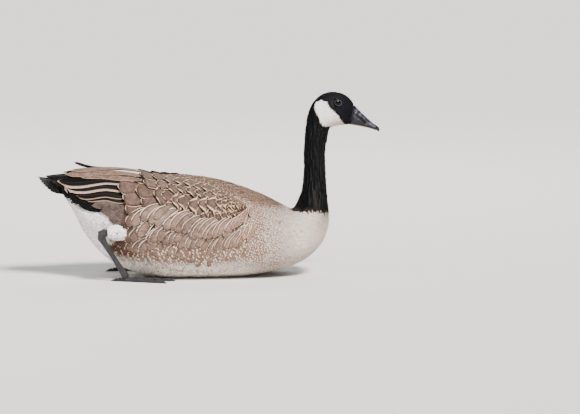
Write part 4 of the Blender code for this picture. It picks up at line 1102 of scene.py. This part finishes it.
def makeRump():
    draw = np.random.default_rng(16)
    rows, around = rumpSets["rows"], rumpSets["around"]
    hump = surfaceFrom(rumpPoint, (0.05, math.pi - 0.05), (-math.pi, math.pi), (121, 241), 1.0, True)
    u, v = gridValues(hump.uEnds, hump.vEnds, (rows, around + 1), True)
    points = rumpPoint(u, v) - hump.at(u, v, hump.normals)[0] * rumpSets["skinDepth"]
    flat = np.stack([u / math.pi, v / math.tau + 0.5], -1).reshape(-1, 2)
    skin = meshPiece("rumpSkin", points.reshape(-1, 3), ringFaces(rows, around)[0],
                     coatMaterial("rumpUnderFeathers", skinSets["look"]), flat)
    giveValues(skin, "baseColour", "FLOAT_COLOR", np.repeat(rumpSets["skin"][None], points.size // 3, 0))
    place(skin, "black_feathers")

    u, v = scatter(hump, (0.35, 2.7), hump.vEnds, evenGap(*rumpSets["gap"]), draw)
    white = smooth(np.cos(v), 0.2, 0.5) * smooth(-u, -1.9, -1.2)
    base, edge = painted((rumpSets["base"], rumpSets["edge"]), white, plumage["white"], plumage["white"])
    feathers = feathersFrom(
        u, v, np.tile([-1.0, 0.0, 0.05], (len(u), 1)), draw, length=rumpSets["length"],
        width=rumpSets["width"], sunk=-0.0022, lift=0.0006, bow=1.1, arc=0.22, frayed=0.04,
        baseColour=base, fringeColour=edge, fringe=0.0004)
    material = featherMaterial("rumpPlumage", rumpSets["look"])
    layFeathers("rumpFeathers", hump, feathers, roundTip, 7, 5, material, "black_feathers")


# Eyes and lids

eyeSets = dict(
    look=dict(roughness=0.20, gloss=0.08, coat=0.16, coatRoughness=0.03), outward=(0.22, 1.0, 0.10),
    ahead=(1.0, 0, -0.15), rings=33, around=48, pupilColour=(0.001, 0.001, 0.001),
    irisDark=colour(4, 3, 2), irisPale=colour(15, 10, 6), pupil=(0.52, 0.60),
)
lidSets = dict(
    look=dict(roughness=0.45, gloss=0.4), reach=(0.0061, 0.0045), steps=9, around=64, rise=0.0009,
    # pale is a painted highlight on the rims of the lids
    dark=colour(5, 5, 6), pale=colour(126, 122, 128),
)


def irisMaterial(word):
    made, tree, shader = newMaterial("eye" + word, eyeSets["look"])
    grain = noiseOf(tree, objectPlace(tree), 1800.0, 3.0)
    iris = blendColours(tree, grain, eyeSets["irisDark"], eyeSets["irisPale"])
    off = slope(tree, readValue(tree, "fromPupil", "Fac"), *eyeSets["pupil"])
    tree.links.new(blendColours(tree, off, eyeSets["pupilColour"], iris), shader.inputs["Base Color"])
    return made


def lidMaterial(word):
    made, tree, shader = newMaterial("lid" + word, lidSets["look"])
    tree.links.new(readValue(tree, "baseColour", "Color"), shader.inputs["Base Color"])
    addBump(tree, shader, noiseOf(tree, objectPlace(tree), 3200.0, 3.0), 0.4, 0.0003)
    return made


def makeEye(word, side):
    node = "eye_" + word.lower()
    low, high = (np.array(corner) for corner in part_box(node))
    middle, radius = (low + high) / 2, (high - low).max() / 2
    out = unit(np.array(eyeSets["outward"]) * (1, side, 1))
    ahead = unit(np.cross(np.cross(out, eyeSets["ahead"]), out))
    up = np.cross(out, ahead) * -side

    rings, around = eyeSets["rings"], eyeSets["around"]
    tilt, turn = gridValues((0.001, math.pi * 0.98), (0, math.tau), (rings, around + 1), True)
    facing = (np.cos(tilt)[..., None] * out + np.sin(tilt)[..., None] * (
        np.cos(turn)[..., None] * ahead + np.sin(turn)[..., None] * up))
    flat = np.stack([tilt / math.pi, turn / math.tau], -1).reshape(-1, 2)
    ball = meshPiece("eyeball" + word, (middle + facing * radius).reshape(-1, 3),
                     ringFaces(rings, around, side > 0)[0], irisMaterial(word), flat)
    giveValues(ball, "fromPupil", "FLOAT", tilt.reshape(-1) / 0.9)
    place(ball, "eye", node)

    # the lids are a ring that runs from the opening out under the feathers
    steps, around = lidSets["steps"], lidSets["around"]
    k, turn = gridValues((0, 1), (0, math.tau), (steps, around + 1), True)
    wide = lidSets["reach"][0] * (1 + 0.24 * k) * np.cos(turn)
    high = lidSets["reach"][1] * (1 + 0.34 * k) * np.sin(turn) * (1 - 0.10 * np.abs(np.cos(turn)) ** 3)
    depth = np.sqrt(np.maximum(radius**2 - wide**2 - high**2, 1e-8))
    rise = lidSets["rise"] * np.sin(np.pi * np.clip(k * 1.15, 0, 1)) ** 0.7
    rise = rise + 0.0002 - 0.0012 * smooth(k, 0.65, 1.0)
    points = middle + out * (depth + rise)[..., None] + ahead * wide[..., None] + up * high[..., None]
    flat = np.stack([k, turn / math.tau], -1).reshape(-1, 2)
    lid = meshPiece("eyelids" + word, points.reshape(-1, 3), ringFaces(steps, around, side > 0)[0],
                    lidMaterial(word), flat)
    # painted highlight: the lids' rim is pale grey, most of all on the upper side, where light catches it
    pale = smooth(0.36 - k, 0, 0.2) * (0.30 + 0.70 * smooth(np.sin(turn), -0.2, 0.4))
    giveValues(lid, "baseColour", "FLOAT_COLOR", mixed(pale, lidSets["dark"], lidSets["pale"]).reshape(-1, 3))
    place(lid, "black_feathers")
    print("eye made:", word.lower())


# Bill

billSets = dict(
    # pale is a painted sky reflection, laid in patches over the dark horn, mostly on the upper bill; black is
    # the bill where no reflection is painted
    look=dict(roughness=0.30, gloss=0.45, dark=colour(13, 13, 17), pale=colour(76, 76, 92),
              black=(0.002, 0.002, 0.0025)),
    rows=81, columns=65,
    upper=(  # ridge x, z, cutting edge x, z, half width
        (0.2570, 0.2972, 0.2495, 0.2698, 0.0135), (0.2635, 0.2898, 0.2570, 0.2678, 0.0130),
        (0.2715, 0.2817, 0.2660, 0.2654, 0.0122), (0.2800, 0.2738, 0.2755, 0.2625, 0.0113),
        (0.2885, 0.2663, 0.2850, 0.2590, 0.0104), (0.2950, 0.2610, 0.2920, 0.2558, 0.0090),
        (0.2993, 0.2574, 0.2966, 0.2520, 0.0068), (0.3010, 0.2545, 0.2988, 0.2504, 0.0038),
    ),
    lower=(  # cutting edge x, z, underside x, z, half width
        (0.2494, 0.2694, 0.2479, 0.2634, 0.0122), (0.2570, 0.2674, 0.2575, 0.2617, 0.0118),
        (0.2660, 0.2650, 0.2670, 0.2600, 0.0111), (0.2755, 0.2621, 0.2765, 0.2580, 0.0102),
        (0.2850, 0.2586, 0.2855, 0.2556, 0.0090), (0.2915, 0.2556, 0.2915, 0.2536, 0.0070),
        (0.2950, 0.2537, 0.2948, 0.2526, 0.0030),
    ),
    lowerBlackness=0.9,
)
nostril = dict(ends=((0.2595, 0.2812), (0.2755, 0.2668)), reach=0.0024, depth=0.0026, rim=0.0005)
nail = dict(start=0.2915, step=0.0005)


def billMaterial():
    look = billSets["look"]
    made, tree, shader = newMaterial("billHorn", look)
    where = objectPlace(tree)
    fine, skyReflectionAndDents = noiseOf(tree, where, 1400.0, 3.0), noiseOf(tree, where, 160.0, 3.0)
    # painted reflection: noise lays patches of a paler purple-grey over the dark horn, for the sky seen in
    # it; the same noise also dents the bump
    base = blendColours(tree, slope(tree, skyReflectionAndDents, 0.35, 0.7), look["dark"], look["pale"])
    base = blendColours(tree, readValue(tree, "blackness", "Fac"), base, look["black"])
    tree.links.new(base, shader.inputs["Base Color"])
    addBump(tree, shader, sums(tree, "ADD", fine, sums(tree, "MULTIPLY", skyReflectionAndDents, 1.5)), 0.30, 0.0004)
    return made


def carveUpperBill(points, outward, share, rise):
    # sinks the nostrils and raises the nail, and gives how black each point is: black keeps the painted sky
    # reflection off the nostrils, the nail, the lower side and the base
    a, b = (np.array(end) for end in nostril["ends"])
    t = np.clip(((points[..., [0, 2]] - a) @ (b - a)) / ((b - a) @ (b - a)), 0, 1)
    off = np.linalg.norm(points[..., [0, 2]] - a - t[..., None] * (b - a), axis=-1)
    onSide = (np.abs(points[..., 1]) > 0.004) & (rise[None, :] < 0.95)
    pit = (1 - smooth(off, nostril["reach"] * 0.45, nostril["reach"])) * onSide
    rim = np.exp(-((off - nostril["reach"] * 1.35) / 0.0009) ** 2) * onSide
    points = points - outward * (nostril["depth"] * pit)[..., None]
    points = points + outward * (nostril["rim"] * rim)[..., None]
    overNail = smooth(points[..., 0] - 0.10 * np.abs(points[..., 1]), nail["start"] - 0.0006, nail["start"])
    points = points + outward * (nail["step"] * overNail)[..., None]
    lowBand = 1 - smooth(rise, 0.22, 0.36)
    basal = 1 - smooth(share, 0.02, 0.10)
    black = pit * 1.3 + 0.85 * overNail + 0.85 * lowBand[None, :] + 0.6 * basal[:, None]
    return points, np.clip(black, 0, 1)


def makeBill():
    material = billMaterial()
    rows, columns = billSets["rows"], billSets["columns"]
    share = np.linspace(0, 1, rows)
    angle = np.linspace(0, math.pi, columns)
    rise = np.sin(angle) ** 0.85
    index = np.arange(rows * columns).reshape(rows, columns)
    # a flat roof or floor of the mouth closes the shell
    closing = np.stack([index[:-1, -1], index[:-1, 0], index[1:, 0], index[1:, -1]], -1)
    faces = np.concatenate([gridFaces(index), closing])
    flat = np.stack(gridValues((0, 1), (0, 1), (rows, columns)), -1).reshape(-1, 2)
    for part in ("upper", "lower"):
        top = part == "upper"
        row = rowAt(billSets[part], share * (len(billSets[part]) - 1))
        ridge, edge = (row[:, 0:2], row[:, 2:4]) if top else (row[:, 2:4], row[:, 0:2])
        y = row[:, 4:5] * np.sign(np.cos(angle)) * np.abs(np.cos(angle)) ** 0.8
        xz = edge[:, None] + (ridge - edge)[:, None] * rise[None, :, None]
        points = np.stack([xz[..., 0], y, xz[..., 1]], -1)
        black = np.full(points.shape[:2], billSets["lowerBlackness"])
        if top:
            surface = Surface(points, (0, 1), (0, 1), -1.0)
            outward = surface.normals * np.sign(dot(surface.normals, points - points.mean((0, 1))).mean())
            points, black = carveUpperBill(points, outward, share, rise)
        turned = faces[:, ::-1] if top else faces
        piece = meshPiece(part + "Bill", points.reshape(-1, 3), turned, material, flat)
        giveValues(piece, "blackness", "FLOAT", black.reshape(-1))
        place(piece, "bill_horn", "bill_" + part)
    print("bill made")


# Legs

legSets = dict(
    look=dict(roughness=0.46, gloss=0.45, dark=colour(20, 20, 22), pale=colour(58, 56, 60),
              furrow=colour(9, 9, 10)),
    nodes=("shank_left", "shank_right", "foot_left", "foot_right"),
)
thighSets = dict(
    look=dict(roughness=0.8, gloss=0.2, barbs=1600, streaks=0.3, clouds=0.2, ragged=0.8, bump=0.5),
    line=(  # x, y, z, radius, for the left leg
        (-0.143, 0.067, 0.086, 0.0170), (-0.158, 0.072, 0.087, 0.0165), (-0.173, 0.0765, 0.0875, 0.0140),
        (-0.1835, 0.0795, 0.0875, 0.0100), (-0.1855, 0.0800, 0.0875, 0.0060),
    ),
    gap=(0.0042, 0.0050), length=0.0125, width=0.0062,
)


def makeLegs():
    # the shanks and feet keep their solids and take a scaly skin
    look = legSets["look"]
    made, tree, shader = newMaterial("scalySkin", look)
    where = objectPlace(tree)
    cells = addNode(tree, "TexVoronoi", {"Vector": where, "Scale": 520.0}, feature="DISTANCE_TO_EDGE")
    scale = slope(tree, cells.outputs["Distance"], 0.0, 0.12)
    base = blendColours(tree, noiseOf(tree, where, 90.0, 3.0), look["dark"], look["pale"])
    tree.links.new(blendColours(tree, scale, look["furrow"], base), shader.inputs["Base Color"])
    addBump(tree, shader, scale, 0.6, 0.0006)
    for node in legSets["nodes"]:
        mesh = bpy.data.objects[node].data
        for slot in range(len(mesh.materials)):
            mesh.materials[slot] = made
    print("legs finished")


def makeThighs():
    material = featherMaterial("thighPlumage", thighSets["look"])
    for word, side in (("Left", 1), ("Right", -1)):
        draw = np.random.default_rng(30 + side)
        line = np.array(thighSets["line"]) * (1, side, 1, 1)

        def thighPoint(u, v):
            row = rowAt(line, u)
            return row[..., :3] + np.stack([np.zeros_like(v), np.cos(v), np.sin(v)], -1) * row[..., 3:4]

        limb = surfaceFrom(thighPoint, (0.0, len(line) - 1.0), (-math.pi, math.pi), (61, 97), 1.0, True)
        out = dot(limb.normals, limb.points - limb.points.mean(1, keepdims=True)).mean()
        limb.facing = 1.0 if out > 0 else -1.0
        limb.setPoints(limb.points)
        u, v = scatter(limb, (0.1, limb.uEnds[1] - 0.05), limb.vEnds, evenGap(*thighSets["gap"]), draw)
        feathers = feathersFrom(
            u, v, np.tile([-0.9, 0.0, -0.15], (len(u), 1)), draw, length=thighSets["length"],
            width=thighSets["width"], sunk=-0.0022, lift=0.0004, bow=1.1, arc=0.2, frayed=0.06,
            baseColour=plumage["white"], fringeColour=plumage["white"], fringe=0.0004)
        layFeathers("thighFeathers" + word, limb, feathers, roundTip, 5, 3, material, "white_feathers")


# Stage, light and camera

stageSets = dict(look=dict(roughness=0.9, gloss=0.1), floor=colour(226, 224, 220), size=40.0, z=-0.0002,
                 air=colour(238, 242, 250), strength=0.55)
keySets = dict(power=7.6, angle=16, tint=colour(255, 250, 242), where=(0.8, -1.5, 2.1))
softLights = (  # name, place, size, power, tint
    ("fillLight", (-1.6, -0.9, 0.9), 1.4, 10, colour(236, 242, 255)),
    ("rimLight", (0.2, 1.7, 1.5), 0.9, 16, colour(255, 252, 246)),
)
lightsAim = (0, 0, 0.12)
view = dict(azimuth=-6.0, elevation=7.0, distance=10.0, target=(0.1426, 0.0, 0.1184), metresWide=1.0208)


def makeStage():
    bpy.ops.mesh.primitive_plane_add(size=stageSets["size"], location=(0, 0, stageSets["z"]))
    floor = bpy.context.object
    floor.name = "studioFloor"
    made, tree, shader = newMaterial("studioPaper", stageSets["look"])
    shader.inputs["Base Color"].default_value = (*stageSets["floor"], 1)
    floor.data.materials.append(made)
    world = bpy.data.worlds.new("studioAir")
    bpy.context.scene.world = world
    world.use_nodes = True
    air = world.node_tree.nodes["Background"]
    air.inputs["Color"].default_value = (*stageSets["air"], 1)
    air.inputs["Strength"].default_value = stageSets["strength"]


def aimed(name, data, where, away):
    # an object that looks against this direction
    made = bpy.data.objects.new(name, data)
    made.location = where
    made.rotation_mode = "QUATERNION"
    made.rotation_quaternion = (-away).to_track_quat("-Z", "Y")
    bpy.context.scene.collection.objects.link(made)
    return made


def makeLights():
    # a broad high light from ahead of the bird's right side, and two weak ones from behind
    sun = bpy.data.lights.new("keyLight", "SUN")
    sun.energy, sun.angle, sun.color = keySets["power"], math.radians(keySets["angle"]), keySets["tint"]
    lamps = [(sun, keySets["where"])]
    for name, where, size, power, tint in softLights:
        light = bpy.data.lights.new(name, "AREA")
        light.size, light.energy, light.color = size, power, tint
        lamps.append((light, where))
    for light, where in lamps:
        aimed(light.name, light, where, Vector(where) - Vector(lightsAim))


def makeCamera():
    # the photograph's view: a long lens, a little behind the bird's right side and above it
    camera = bpy.data.cameras.new("photoCamera")
    camera.lens = camera.sensor_width * view["distance"] / view["metresWide"]
    camera.clip_end = 100
    azimuth, elevation = math.radians(view["azimuth"]), math.radians(view["elevation"])
    away = Vector((math.sin(azimuth) * math.cos(elevation), -math.cos(azimuth) * math.cos(elevation),
                   math.sin(elevation)))
    where = Vector(view["target"]) + away * view["distance"]
    bpy.context.scene.camera = aimed("photoCamera", camera, where, away)


makeStage()
makeLights()
makeCamera()
print("stage, lights and camera set")
bodySurface = makeBodySurface()
makeSkin(bodySurface)
headCoat(bodySurface)
neckCoat(bodySurface)
bodyCoat(bodySurface)
flankCoat(bodySurface)
makeThighs()
makeWings()
makeEye("Left", 1)
makeEye("Right", -1)
makeBill()
makeLegs()
makeTail()
makeRump()
